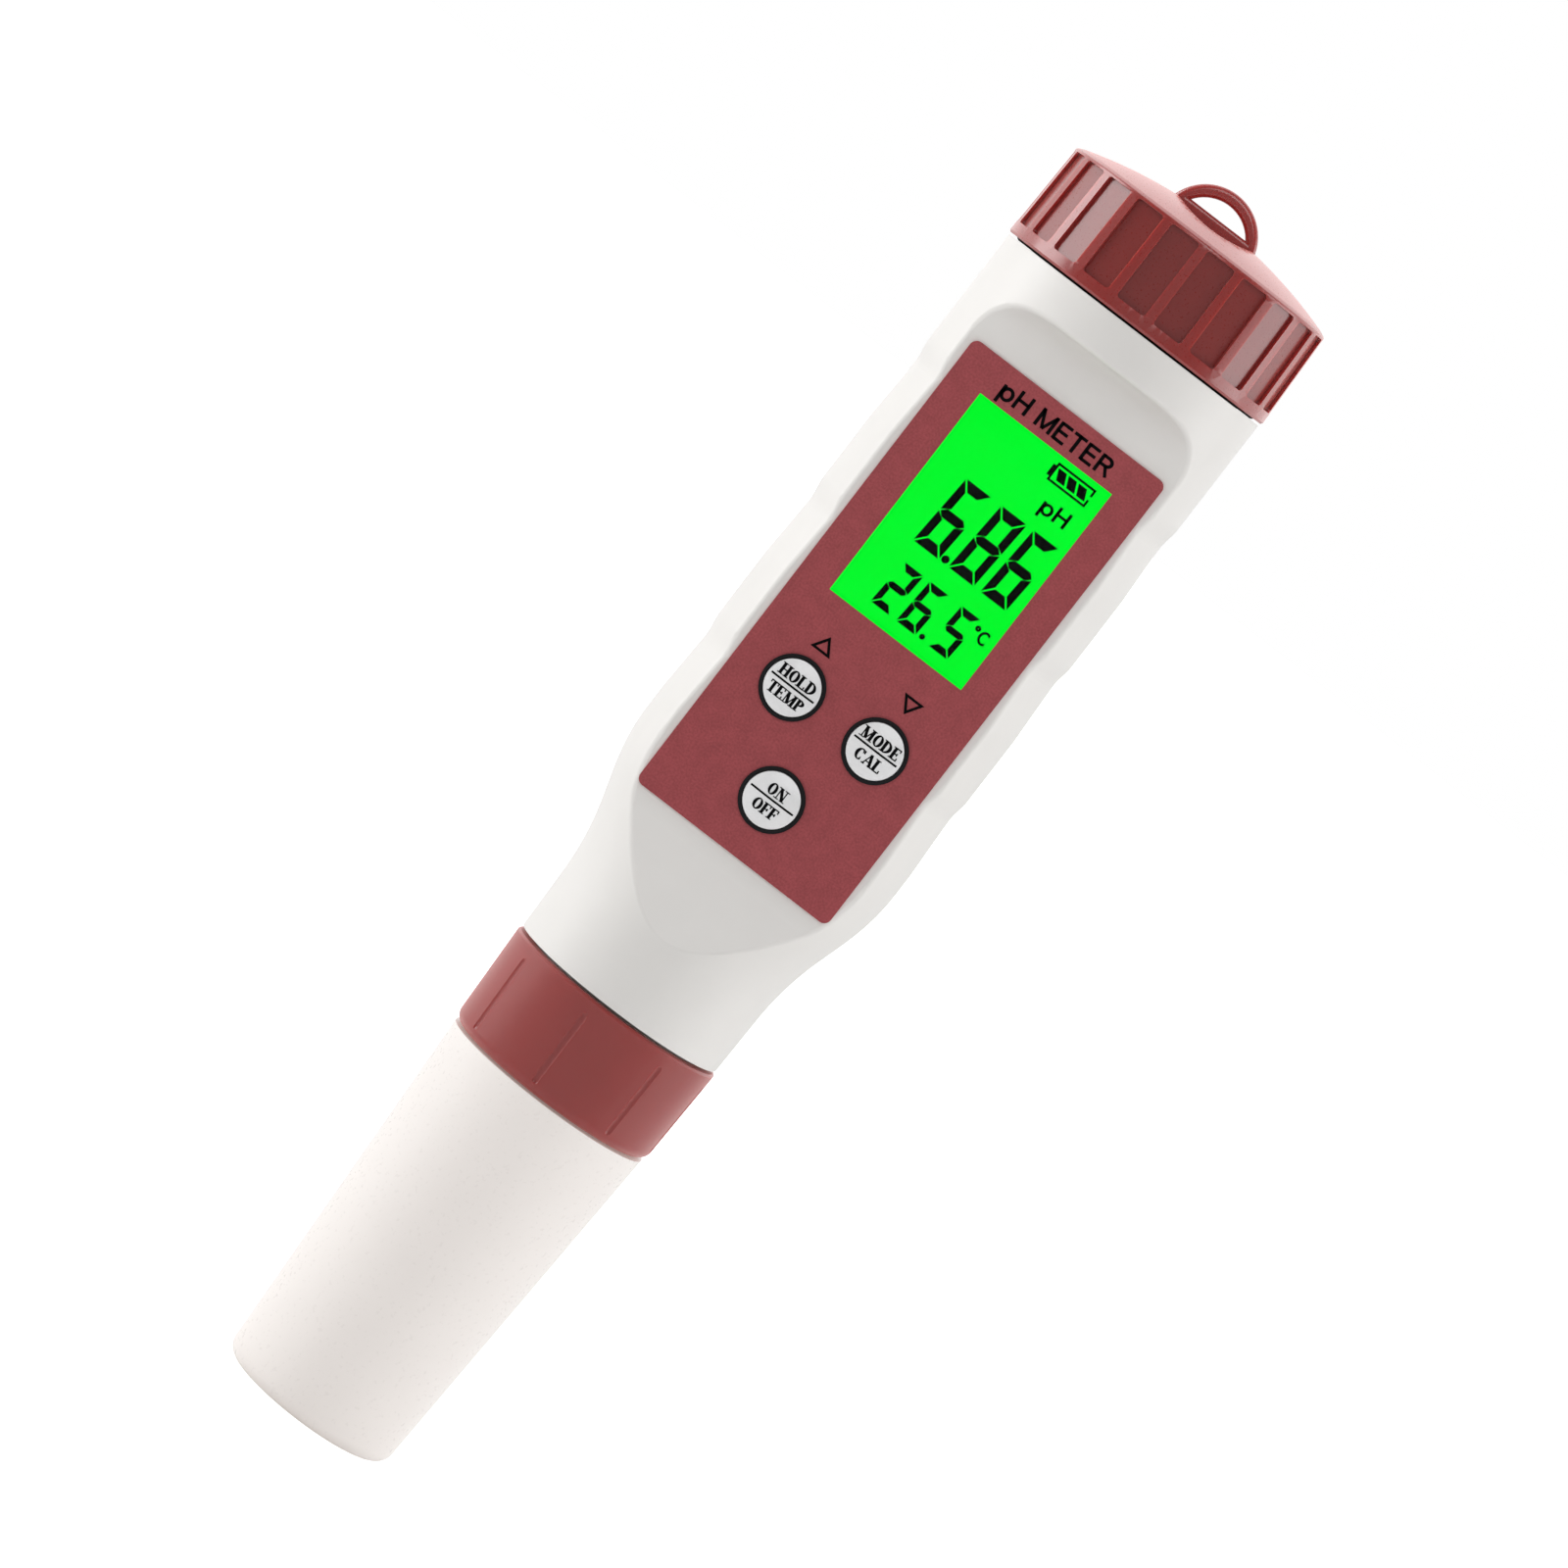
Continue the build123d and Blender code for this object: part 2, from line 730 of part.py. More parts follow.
def make_board_screws():
    screws = []
    for x, height in screw_places():
        head = rod_y(screw_head_radius, board_front_y - screw_head_height, board_front_y, x, height)
        head = fillet(head.edges().sort_by(Axis.Y)[0], 0.4)
        shank = rod_y(screw_shank_radius, board_front_y, board_front_y + screw_shank_length, x, height)
        cross = (block(0.5, board_front_y - 2, board_front_y - 0.5, height - 1, height + 1, x)
                 + block(2.0, board_front_y - 2, board_front_y - 0.5, height - 0.25, height + 0.25, x))
        screws.append(head + shank - cross)
    return Compound(screws)


def make_microcontroller():
    middle = window_middle - 2
    chip = block(10, board_back_y, board_back_y + 1.2, middle - 5, middle + 5)
    return chamfer(chip.edges().filter_by(Axis.Z).sort_by(Axis.Y)[-1], 0.4)


def make_signal_amplifier():
    middle = button_upper - 1
    return block(5, board_back_y, board_back_y + 1.4, middle - 2, middle + 2)


def make_crystal():
    middle = window_middle + 9
    can = block(8, board_back_y, board_back_y + 2.2, middle - 1.8, middle + 1.8)
    return fillet(can.edges().filter_by(Axis.Y), 1.6)


def make_capacitors():
    rows = [window_bottom - 2.0 - 3.2 * n for n in range(3)]
    return Compound([block(2.0, board_back_y, board_back_y + 1.2, row, row + 1.25, x)
                     for row in rows for x in (-8.0, 8.0)])


def chassis_room():
    """The round space inside the neck and shoulder, set in by the rails' clearance."""
    low = housing_bottom + neck_height
    high = low + shoulder_height
    inset = wall + rail_clearance
    neck = neck_top_radius - inset
    body = housing_radius - inset
    edges = [Line((0, housing_bottom), (neck, housing_bottom)), Line((neck, housing_bottom), (neck, low)),
             shoulder_curve(inset), Line((body, high), (body, housing_top)),
             Line((body, housing_top), (0, housing_top)), Line((0, housing_top), (0, housing_bottom))]
    return revolve(make_face(Plane.XZ * Wire(edges)), Axis.Z)


def make_chassis():
    """A tray that holds the board on four posts, the probe socket below and the cell holder above."""
    plate = block(2 * chassis_half_width, plate_front_y, plate_back_y, socket_top, holder_bottom)
    lower = disc(socket_radius + 2, socket_top, socket_top + shelf_thickness)
    upper = disc(holder_radius - 1.6, holder_bottom - shelf_thickness, holder_bottom)
    tray = (plate + lower + upper) & chassis_room()
    for x, height in screw_places():
        tray += rod_y(post_radius, board_back_y, plate_front_y, x, height)
        tray -= rod_y(screw_shank_radius, board_back_y - 1, board_front_y + screw_shank_length + 0.3, x, height)
    for side in (-1, 1):
        tray -= make_lead(side, lead_radius + lead_clearance)
    tray -= make_sensor_ribbon(ribbon_clearance)
    slot = block(ribbon_width + 2 * ribbon_clearance, -socket_radius / 3 - 1.0, -socket_radius / 3 + 1.0,
                 socket_top - 1, socket_top + shelf_thickness + 1)
    return tray - slot - front_scoop(wall + holder_clearance)


def make_probe_socket():
    body = disc(socket_radius, socket_bottom, socket_top)
    for place in pin_places():
        body -= Pos(*place, socket_bottom - 1) * extrude(Circle(pin_radius + contact_clearance + contact_wall),
                                                         pin_length + 3)
    return body


def make_socket_contacts():
    outer = pin_radius + contact_clearance + contact_wall
    inner = pin_radius + contact_clearance
    top = pin_length + 2
    sleeves = [Pos(*place, socket_bottom) * (extrude(Circle(outer), top) - extrude(Circle(inner), top - 0.5))
               for place in pin_places()]
    return Compound(sleeves)


def make_sensor_ribbon(clearance=0.0):
    """A flat ribbon from the socket, through the lower shelf, onto the back of the board."""
    start = -socket_radius / 3
    end = board_back_y + ribbon_thickness / 2
    rise = socket_top + shelf_thickness + ribbon_rise
    line = Polyline((start, socket_top), (start, rise), (end, board_bottom + ribbon_lap_start),
                    (end, board_bottom + ribbon_lap_end))
    strip = trace(line, ribbon_thickness + 2 * clearance)
    return extrude(Plane.YZ * strip, ribbon_width / 2 + clearance, both=True)


def make_battery_holder():
    body = disc(holder_radius, holder_bottom, holder_top)
    rim = holder_radius + holder_clearance + holder_rim_width - 0.05
    body += disc(rim, holder_top - holder_rim_height + 0.05, holder_top)
    for x in (-cell_x, cell_x):
        well = Pos(x, 0, well_bottom) * extrude(Circle(cell_radius + cell_well_clearance), 40)
        body -= well
        body -= Pos(x, lead_y, holder_bottom - 1) * extrude(Circle(lead_radius), holder_floor + 2)
    return body - front_scoop(wall + holder_clearance)


def make_cell(x, bottom, flip):
    """A button cell: a can and, at one end, a smaller top."""
    step = 0.5
    can_low = bottom + step if flip else bottom
    tip_low = bottom if flip else bottom + cell_height - step
    can = Pos(x, 0, can_low) * extrude(Circle(cell_radius), cell_height - step)
    tip = Pos(x, 0, tip_low) * extrude(Circle(cell_radius - 0.9), step)
    return can + tip


def make_battery_cells():
    step = cell_height + cell_gap
    return Compound([make_cell(side * cell_x, cells_bottom + n * step, side > 0)
                     for side in (-1, 1) for n in range(2)])


def make_battery_springs():
    low = well_bottom + terminal_thickness
    rise = spring_height - spring_wire * 2.2
    springs = []
    for x in (-cell_x, cell_x):
        path = Helix(rise / 2.5, rise, spring_radius)
        start = Plane(origin=(spring_radius, 0, 0), z_dir=(0, 1, 0))
        wire = sweep(make_face(start * Circle(spring_wire).edge()), path=path, is_frenet=True)
        springs.append(Pos(x, 0, low + spring_wire) * wire)
    return Compound(springs)


def make_terminal_plates():
    radius = cell_radius - 0.6
    return Compound([Pos(x, 0, well_bottom) * extrude(Circle(radius), terminal_thickness)
                     for x in (-cell_x, cell_x)])


def make_lead(side, radius=lead_radius):
    """A short wire from a terminal plate, through the shelf, onto the back of the board."""
    x = side * cell_x
    down = board_top - lead_landing
    bend = lead_bend_share * (lead_y - board_back_y)
    path = FilletPolyline((x, lead_y, well_bottom), (x, lead_y, down), (x, board_back_y, down), radius=bend)
    section = Plane(origin=path @ 0, z_dir=path % 0) * Circle(radius)
    return sweep(section, path=path)


def make_battery_cap_seal():
    low = housing_top + seal_clearance
    centre = battery_cap_bore + seal_section + seal_land
    return Pos(0, 0, low + seal_section) * Torus(centre, seal_section)


def make_dome():
    """The battery cap's outside before it is fluted."""
    top_radius = battery_cap_radius - battery_cap_taper
    rise = dome_rise
    sphere = (dome_radius ** 2 + rise ** 2) / (2 * rise)
    middle = dome_radius / 2
    lift = math.sqrt(sphere ** 2 - middle ** 2) - (sphere - rise)
    foot = (battery_cap_radius - foot_step, battery_cap_bottom)
    skirt = (battery_cap_radius, battery_cap_bottom + foot_rise)
    shoulder = (top_radius, skirt_top - skirt_edge_drop)
    edges = [Line((0, battery_cap_bottom), foot), Line(foot, skirt), Line(skirt, shoulder),
             Line(shoulder, (dome_radius, skirt_top)),
             ThreePointArc((dome_radius, skirt_top), (middle, skirt_top + lift), (0, dome_top)),
             Line((0, dome_top), (0, battery_cap_bottom))]
    outline = make_face(Plane.XZ * Wire(edges))
    corners = [v for v in outline.vertices() if v.X > top_radius / 2 and v.Z > shoulder[1] - shoulder_round / 2]
    return revolve(fillet(corners, shoulder_round), Axis.Z)


def segment(half_width, height):
    """The part of a circle that stands above its chord."""
    radius = (half_width ** 2 + height ** 2) / (2 * height)
    return Pos(0, height - radius) * Circle(radius) & Pos(0, radius) * Rectangle(2 * radius, 2 * radius)


def make_loop():
    """A half ring on top of the dome for a lanyard, with a low bar across its foot."""
    foot = Pos(0, -loop_foot / 2) * Rectangle(2 * loop_half_width, loop_foot)
    opening = Pos(0, loop_sink + loop_step) * segment(loop_opening_half_width, loop_opening_height)
    bow = segment(loop_half_width, loop_height) + foot - opening
    solid = extrude(Plane.XZ.offset(-loop_thickness / 2) * bow, loop_thickness)
    arcs = solid.edges().filter_by(GeomType.CIRCLE).sort_by(lambda edge: edge.radius)
    solid = fillet(arcs[-2:], loop_edge_round)
    half = loop_opening_half_width + rim_slack
    rims = [edge for edge in solid.edges() if max(abs((edge @ share).X) for share in (0, 1)) < half
            and min((edge @ share).Z for share in (0, 1)) > loop_sink]
    solid = fillet([edge for edge in rims if abs(edge.tangent_at(0.5).Y) < rim_slack], loop_opening_round)
    return Pos(0, 0, dome_top - loop_sink) * solid


def make_battery_cap():
    shell = make_dome()
    tilt = math.degrees(math.atan(battery_cap_taper / battery_cap_skirt))
    panel_width = 2 * battery_cap_radius * math.sin(math.radians(flute_panel_angle / 2))
    low = battery_cap_bottom + battery_cap_band
    reach = battery_cap_skirt - battery_cap_band - flute_rim
    flat = battery_cap_radius * math.cos(math.radians(flute_panel_angle / 2)) - flute_depth
    for n in range(flute_count):
        turn = Rot(0, 0, -90 + flute_first_angle + 360 / flute_count * (n + 0.5))
        face = Plane(origin=(0, 0, reach / 2), x_dir=(0, 1, 0), z_dir=(1, 0, 0))
        cutter = face * extrude(RectangleRounded(panel_width, reach, flute_corner), 3)
        shell -= turn * Pos(flat, 0, low) * Rot(0, -tilt, 0) * cutter
    hollow = (thumb_half_width ** 2 + thumb_dip ** 2) / (2 * thumb_dip)
    for side in (-1, 1):
        start = side * (loop_thickness / 2 - thumb_overlap)
        axis = Plane(origin=(0, start, dome_top - thumb_drop + hollow - thumb_dip), z_dir=(0, side, 0))
        shell -= axis * extrude(Circle(hollow), 2 * dome_radius)
    shell += make_loop()
    shell -= disc(battery_cap_bore, battery_cap_bottom - 1, roof_under)
    seat = battery_cap_bore + 2 * seal_section + seal_land + seal_clearance
    shell -= disc(seat, battery_cap_bottom - 1, housing_top + 2 * seal_section + 2 * seal_clearance)
    start = housing_top + 2 * thread_lead_in + battery_cap_pitch / 2
    return shell + ridge(battery_cap_bore, -1, start, battery_cap_pitch)


def make_cap_liner():
    return disc(contact_plate_radius, roof_under - liner_thickness, roof_under)


def make_contact_plate():
    return disc(contact_plate_radius, contact_plate_bottom, roof_under - liner_thickness)


def save(name, shape):
    export_step(shape, "parts/" + name + ".step")


os.makedirs("parts", exist_ok=True)
save("storage_cap", make_storage_cap())
save("soaking_sponge", make_soaking_sponge())
save("electrode_body", make_electrode_body())
save("probe_guard", make_probe_guard())
save("glass_bulb", make_glass_bulb())
save("reference_wire", make_reference_wire())
save("reference_junction", make_reference_junction())
save("temperature_sensor", make_temperature_sensor())
save("probe_seal", make_probe_seal())
save("collar_gasket", make_collar_gasket())
save("connector_pins", make_connector_pins())
save("lock_collar", make_lock_collar())
save("housing", make_housing())
save("face_label", make_face_label())
save("display_window", make_display_window())
save("button_seals", make_button_seals())
for name, (x, height) in button_places().items():
    save(name + "_button", make_button(x, height))
    save(name + "_plunger", make_plunger(x, height))
save("switch_bodies", make_switch_bodies())
save("lcd_front_glass", make_lcd_front_glass())
save("lcd_rear_glass", make_lcd_rear_glass())
save("lcd_bezel", make_lcd_bezel())
save("backlight_guide", make_backlight_guide())
save("backlight_leds", make_backlight_leds())
save("backlight_reflector", make_backlight_reflector())
save("rubber_connectors", make_rubber_connectors())
save("main_board", make_main_board())
save("board_screws", make_board_screws())
save("microcontroller", make_microcontroller())
save("signal_amplifier", make_signal_amplifier())
save("crystal", make_crystal())
save("capacitors", make_capacitors())
save("chassis", make_chassis())
save("probe_socket", make_probe_socket())
save("socket_contacts", make_socket_contacts())
save("sensor_ribbon", make_sensor_ribbon())
save("battery_holder", make_battery_holder())
save("battery_cells", make_battery_cells())
save("battery_springs", make_battery_springs())
save("terminal_plates", make_terminal_plates())
save("positive_lead", make_lead(-1))
save("negative_lead", make_lead(1))
save("battery_cap_seal", make_battery_cap_seal())
save("battery_cap", make_battery_cap())
save("cap_liner", make_cap_liner())
save("contact_plate", make_contact_plate())
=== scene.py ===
import json
import math
import bpy
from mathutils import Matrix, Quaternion, Vector


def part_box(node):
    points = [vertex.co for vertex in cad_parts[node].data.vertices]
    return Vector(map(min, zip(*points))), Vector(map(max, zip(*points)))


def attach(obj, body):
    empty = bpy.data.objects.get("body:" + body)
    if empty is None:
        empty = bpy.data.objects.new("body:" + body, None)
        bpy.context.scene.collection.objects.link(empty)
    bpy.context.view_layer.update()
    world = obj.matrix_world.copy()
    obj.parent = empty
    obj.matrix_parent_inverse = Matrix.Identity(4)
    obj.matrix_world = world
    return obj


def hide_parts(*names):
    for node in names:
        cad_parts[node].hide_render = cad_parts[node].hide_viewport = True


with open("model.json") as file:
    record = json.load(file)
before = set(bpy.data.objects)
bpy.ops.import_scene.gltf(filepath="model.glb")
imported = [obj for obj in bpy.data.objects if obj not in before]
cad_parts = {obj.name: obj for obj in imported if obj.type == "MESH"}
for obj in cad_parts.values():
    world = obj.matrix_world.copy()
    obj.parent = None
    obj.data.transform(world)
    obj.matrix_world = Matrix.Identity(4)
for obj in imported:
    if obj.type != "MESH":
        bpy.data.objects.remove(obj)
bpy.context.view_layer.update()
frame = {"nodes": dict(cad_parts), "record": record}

mm = 0.001


# camera: at the height of the battery cap's lower edge, rolled so that the meter leans right
cameraSetup = {
    "eye": (0.0, -0.853, 0.166),
    "target": (0.0, 0.0, 0.0963),
    "roll": 37.6,
    "lens": 162.0,
    "sensor": 36.0,
}


def makeCamera():
    bpy.ops.object.camera_add(location=cameraSetup["eye"])
    camera = bpy.context.object
    camera.name = "camera"
    camera.data.lens = cameraSetup["lens"]
    camera.data.sensor_width = cameraSetup["sensor"]
    camera.data.clip_start = 0.01
    camera.data.clip_end = 50.0
    aim = (Vector(cameraSetup["target"]) - Vector(cameraSetup["eye"])).to_track_quat("-Z", "Y")
    camera.rotation_mode = "QUATERNION"
    camera.rotation_quaternion = aim @ Quaternion((0, 0, 1), math.radians(cameraSetup["roll"]))
    bpy.context.scene.camera = camera


makeCamera()
print("camera set")


# shader maths: a wire is one node's output, and arithmetic on wires adds Math nodes
class Wire:
    def __init__(self, tree, socket):
        self.tree = tree
        self.socket = socket

    def node(self, kind, settings=None, inputs=None, out=0):
        made = self.tree.nodes.new(kind)
        for key, value in (settings or {}).items():
            setattr(made, key, value)
        for key, value in (inputs or {}).items():
            if isinstance(value, Wire):
                self.tree.links.new(value.socket, made.inputs[key])
            else:
                made.inputs[key].default_value = value
        return Wire(self.tree, made.outputs[out])

    def math(self, operation, first, second):
        return self.node("ShaderNodeMath", {"operation": operation}, {0: first, 1: second})

    def __add__(self, other):
        return self.math("ADD", self, other)

    def __radd__(self, other):
        return self.math("ADD", other, self)

    def __sub__(self, other):
        return self.math("SUBTRACT", self, other)

    def __rsub__(self, other):
        return self.math("SUBTRACT", other, self)

    def __mul__(self, other):
        return self.math("MULTIPLY", self, other)

    def __rmul__(self, other):
        return self.math("MULTIPLY", other, self)

    def noise(self, size, detail=3.0):
        return self.node("ShaderNodeTexNoise", {}, {"Vector": self, "Scale": 1 / size, "Detail": detail})

    def stretched(self, x, y, z):
        return self.node("ShaderNodeMapping", {}, {"Vector": self, "Scale": (x, y, z)})

    def length(self):
        return self.node("ShaderNodeVectorMath", {"operation": "LENGTH"}, {0: self}, "Value")

    def axis(self, letter):
        return self.node("ShaderNodeSeparateXYZ", {}, {0: self}, letter)

    def spread(self, low, high, fromLow=0.3, fromHigh=0.7):
        ends = {"Value": self, "From Min": fromLow, "From Max": fromHigh, "To Min": low, "To Max": high}
        return self.node("ShaderNodeMapRange", {}, ends)

    def tint(self, dark, light):
        return self.node("ShaderNodeMix", {"data_type": "RGBA"}, {0: self, 6: dark, 7: light}, 2)

    def bump(self, strength, distance):
        return self.node("ShaderNodeBump", {}, {"Height": self, "Strength": strength, "Distance": distance})


# studio: soft boxes at both sides, white behind, a dimmer room in front
studioSetup = {
    "sides": {"softbox_left": {"turn": -90.0, "power": 8.3, "width": 0.6, "height": 1.2, "centre": 0.16},
              "softbox_right": {"turn": 87.0, "power": 4.7, "width": 0.6, "height": 1.2, "centre": 0.2}},
    "sideDistance": 1.0, "aim": 0.12,
    "frontPower": 9.6, "front": (0.1, -1.6, 1.2), "frontSize": 1.2,
    "roomFront": 0.2, "roomBack": 1.1, "roomBand": 0.35,
    "floorRadius": 6.0, "floorCorners": 96, "floorShade": 0.8, "floorRough": 0.8,
}


def addLight(name, place, width, height, power):
    bpy.ops.object.light_add(type="AREA", location=place)
    light = bpy.context.object
    light.name = name
    light.data.shape = "RECTANGLE"
    light.data.size = width
    light.data.size_y = height
    light.data.energy = power
    light.rotation_mode = "QUATERNION"
    centre = Vector((0, 0, studioSetup["aim"]))
    light.rotation_quaternion = (centre - Vector(place)).to_track_quat("-Z", "Y")


def makeWorld():
    world = bpy.data.worlds.new("studio")
    bpy.context.scene.world = world
    world.use_nodes = True
    tree = world.node_tree
    tree.nodes.clear()
    direction = Wire(tree, tree.nodes.new("ShaderNodeTexCoord").outputs["Generated"])
    band = studioSetup["roomBand"]
    room = direction.axis("Y").spread(studioSetup["roomFront"], studioSetup["roomBack"], -band, band)
    seen = Wire(tree, tree.nodes.new("ShaderNodeLightPath").outputs["Is Camera Ray"])
    strength = seen + (1 - seen) * room
    glow = strength.node("ShaderNodeBackground", {}, {"Color": (1, 1, 1, 1), "Strength": strength})
    output = tree.nodes.new("ShaderNodeOutputWorld")
    tree.links.new(glow.socket, output.inputs["Surface"])


def makeFloor():
    bpy.ops.mesh.primitive_circle_add(vertices=studioSetup["floorCorners"], radius=studioSetup["floorRadius"],
                                      fill_type="NGON")
    floor = bpy.context.object
    floor.name = "studio_floor"
    paper = bpy.data.materials.new("floor_paper")
    paper.use_nodes = True
    tree = paper.node_tree
    shader = tree.nodes["Principled BSDF"]
    grey = studioSetup["floorShade"]
    shader.inputs["Base Color"].default_value = (grey, grey, grey, 1)
    shader.inputs["Roughness"].default_value = studioSetup["floorRough"]
    seen = Wire(tree, tree.nodes.new("ShaderNodeLightPath").outputs["Is Camera Ray"])
    glow = seen.node("ShaderNodeEmission", {}, {"Color": (1, 1, 1, 1), "Strength": seen})
    both = glow.node("ShaderNodeAddShader")
    tree.links.new(shader.outputs[0], both.socket.node.inputs[0])
    tree.links.new(glow.socket, both.socket.node.inputs[1])
    tree.links.new(both.socket, tree.nodes["Material Output"].inputs["Surface"])
    floor.data.materials.append(paper)


def makeStudio():
    reach = studioSetup["sideDistance"]
    for name, box in studioSetup["sides"].items():
        turn = math.radians(box["turn"])
        place = (math.sin(turn) * reach, -math.cos(turn) * reach, box["centre"])
        addLight(name, place, box["width"], box["height"], box["power"])
    size = studioSetup["frontSize"]
    addLight("softbox_front", studioSetup["front"], size, size, studioSetup["frontPower"])
    makeWorld()
    makeFloor()
    settings = bpy.context.scene.view_settings
    settings.view_transform = "Standard"
    settings.look = "None"
    settings.exposure = 0.0


makeStudio()
print("studio lit")


# materials, one maker for each kind of finish
# the red plastic takes light in a little way, and the storage cap glows faintly, painted light standing in
# for light let through its wall from behind
roseGlow = {"Subsurface Weight": 0.6, "Subsurface Radius": (1.0, 0.3, 0.22), "Subsurface Scale": 0.0016,
            "Sheen Weight": 0.5, "Sheen Tint": (1.0, 0.32, 0.28, 1.0), "Sheen Roughness": 0.45}
pearlPaintedGlow = {"Emission Color": (1.0, 0.88, 0.81, 1.0), "Emission Strength": 0.22}
# sizes are in millimetres
plasticSetup = {"clouds": 9, "grainBump": 0.35, "smoothest": -0.04, "roughest": 0.05, "coatRough": 0.2}


def startMaterial(name, fixed):
    made = bpy.data.materials.new(name)
    made.use_nodes = True
    tree = made.node_tree
    shader = tree.nodes["Principled BSDF"]
    for key, value in fixed.items():
        shader.inputs[key].default_value = value
    place = Wire(tree, tree.nodes.new("ShaderNodeTexCoord").outputs["Object"])
    return made, shader, place


def feed(shader, **wires):
    names = {"color": "Base Color", "rough": "Roughness", "normal": "Normal", "glow": "Emission Color"}
    for key, wire in wires.items():
        wire.tree.links.new(wire.socket, shader.inputs[names[key]])


def shade(color, factor):
    return (color[0] * factor, color[1] * factor, color[2] * factor, 1)


def plastic(name, color, rough, grain=0.25, depth=0.004, mottle=0.06, specular=0.5, coat=0.0, extra=None):
    # grain and depth are in millimetres
    coating = {"Coat Weight": coat, "Coat Roughness": plasticSetup["coatRough"]}
    made, shader, place = startMaterial(name, {"Specular IOR Level": specular, **coating, **(extra or {})})
    clouds = place.noise(plasticSetup["clouds"] * mm, 2.0)
    fine = place.noise(grain * mm, 3.0)
    feed(shader,
         color=clouds.spread(0, 1).tint(shade(color, 1 - mottle), shade(color, 1 + mottle)),
         rough=fine.spread(rough + plasticSetup["smoothest"], rough + plasticSetup["roughest"]),
         normal=fine.bump(plasticSetup["grainBump"], depth * mm))
    return made


def capPlastic(name, setup):
    # as the red plastic, but with painted shade on the floors of the grip panels and painted light on the
    # dome and its loop
    coating = {"Coat Weight": setup["coat"], "Coat Roughness": plasticSetup["coatRough"]}
    made, shader, place = startMaterial(name, {**coating, **roseGlow})
    lowest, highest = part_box("battery_cap")
    height = place.axis("Z") - lowest.z
    skin = highest.x - height * (setup["lean"] / setup["skirt"])
    depth = skin - place.stretched(1, 1, 0).length()
    # painted shade darkens the panel floors, where the surface sinks below the skirt's skin; painted light
    # brightens all above the skirt, the dome and its loop
    sunk = depth.spread(0, 1, *[edge * mm for edge in setup["sunk"]])
    top = height.spread(0, 1, (setup["skirt"] - setup["topLightBlend"]) * mm, setup["skirt"] * mm)
    side = sunk.tint(shade(setup["color"], 1), shade(setup["color"], setup["floorShadeTone"]))
    fine = place.noise(setup["grain"] * mm, 3.0)
    feed(shader,
         color=top.tint(side, shade(setup["color"], setup["topLightTone"])),
         rough=fine.spread(*setup["rough"]),
         normal=fine.bump(plasticSetup["grainBump"], setup["grainDepth"] * mm))
    return made


def labelSkin(name, color):
    # printed film with a fine two-scale grain
    made, shader, place = startMaterial(name, {"Specular IOR Level": 0.3})
    specks = place.noise(0.28 * mm, 4.0)
    clouds = place.noise(2.2 * mm, 3.0)
    mix = (specks * 0.7 + clouds * 0.3).spread(0, 1, 0.38, 0.62)
    feed(shader, color=mix.tint(shade(color, 0.86), shade(color, 1.15)), rough=specks.spread(0.5, 0.62),
         normal=specks.bump(0.3, 0.01 * mm))
    return made


def metal(name, color, rough, brush=(1, 1, 12)):
    made, shader, place = startMaterial(name, {"Metallic": 1.0})
    lines = place.stretched(*brush).noise(0.4 * mm, 3.0)
    feed(shader, color=lines.spread(0, 1).tint(shade(color, 0.85), shade(color, 1.08)),
         rough=lines.spread(rough - 0.05, rough + 0.08), normal=lines.bump(0.2, 0.002 * mm))
    return made


def boardMask(name):
    # solder mask with darker tracks under it
    made, shader, place = startMaterial(name, {"Coat Weight": 0.3})
    tracks = place.node("ShaderNodeTexBrick", {"offset": 0.5},
                        {"Vector": place, "Scale": 1 / (1.4 * mm), "Mortar Size": 0.09,
                         "Color1": (0, 0, 0, 1), "Color2": (0, 0, 0, 1), "Mortar": (1, 1, 1, 1)})
    feed(shader, color=tracks.tint((0.008, 0.11, 0.04, 1), (0.03, 0.24, 0.09, 1)),
         rough=place.noise(0.8 * mm).spread(0.28, 0.4), normal=tracks.bump(0.4, 0.02 * mm))
    return made


def sponge(name, color):
    made, shader, place = startMaterial(name, {"Roughness": 0.95})
    cells = place.node("ShaderNodeTexVoronoi", {}, {"Vector": place, "Scale": 1 / (0.9 * mm)})
    # the pits between the cells are painted darker than the cell walls, as painted shade
    feed(shader, color=cells.spread(0, 1, 0.1, 0.6).tint(shade(color, 0.35), shade(color, 1.0)),
         normal=cells.bump(0.9, 0.25 * mm))
    return made


def litGlass(name):
    made, shader, place = startMaterial(name, {"Roughness": 0.2, "Emission Strength": 1.0,
                                               "Specular IOR Level": 0.05})
    drift = place.noise(12 * mm, 2.0).spread(0, 1)
    feed(shader, color=drift.tint((0.0, 0.01, 0.0, 1), (0.0, 0.014, 0.001, 1)),
         glow=drift.tint((0.0, 0.92, 0.021, 1), (0.0, 0.95, 0.025, 1)))
    return made


def clearPlastic(name, dark, light, rough, ior=1.45):
    made, shader, place = startMaterial(name, {"Transmission Weight": 1.0, "IOR": ior})
    feed(shader, rough=place.noise(4 * mm, 2.0).spread(rough, rough + 0.025),
         color=place.noise(9 * mm).spread(0, 1).tint(dark, light))
    return made


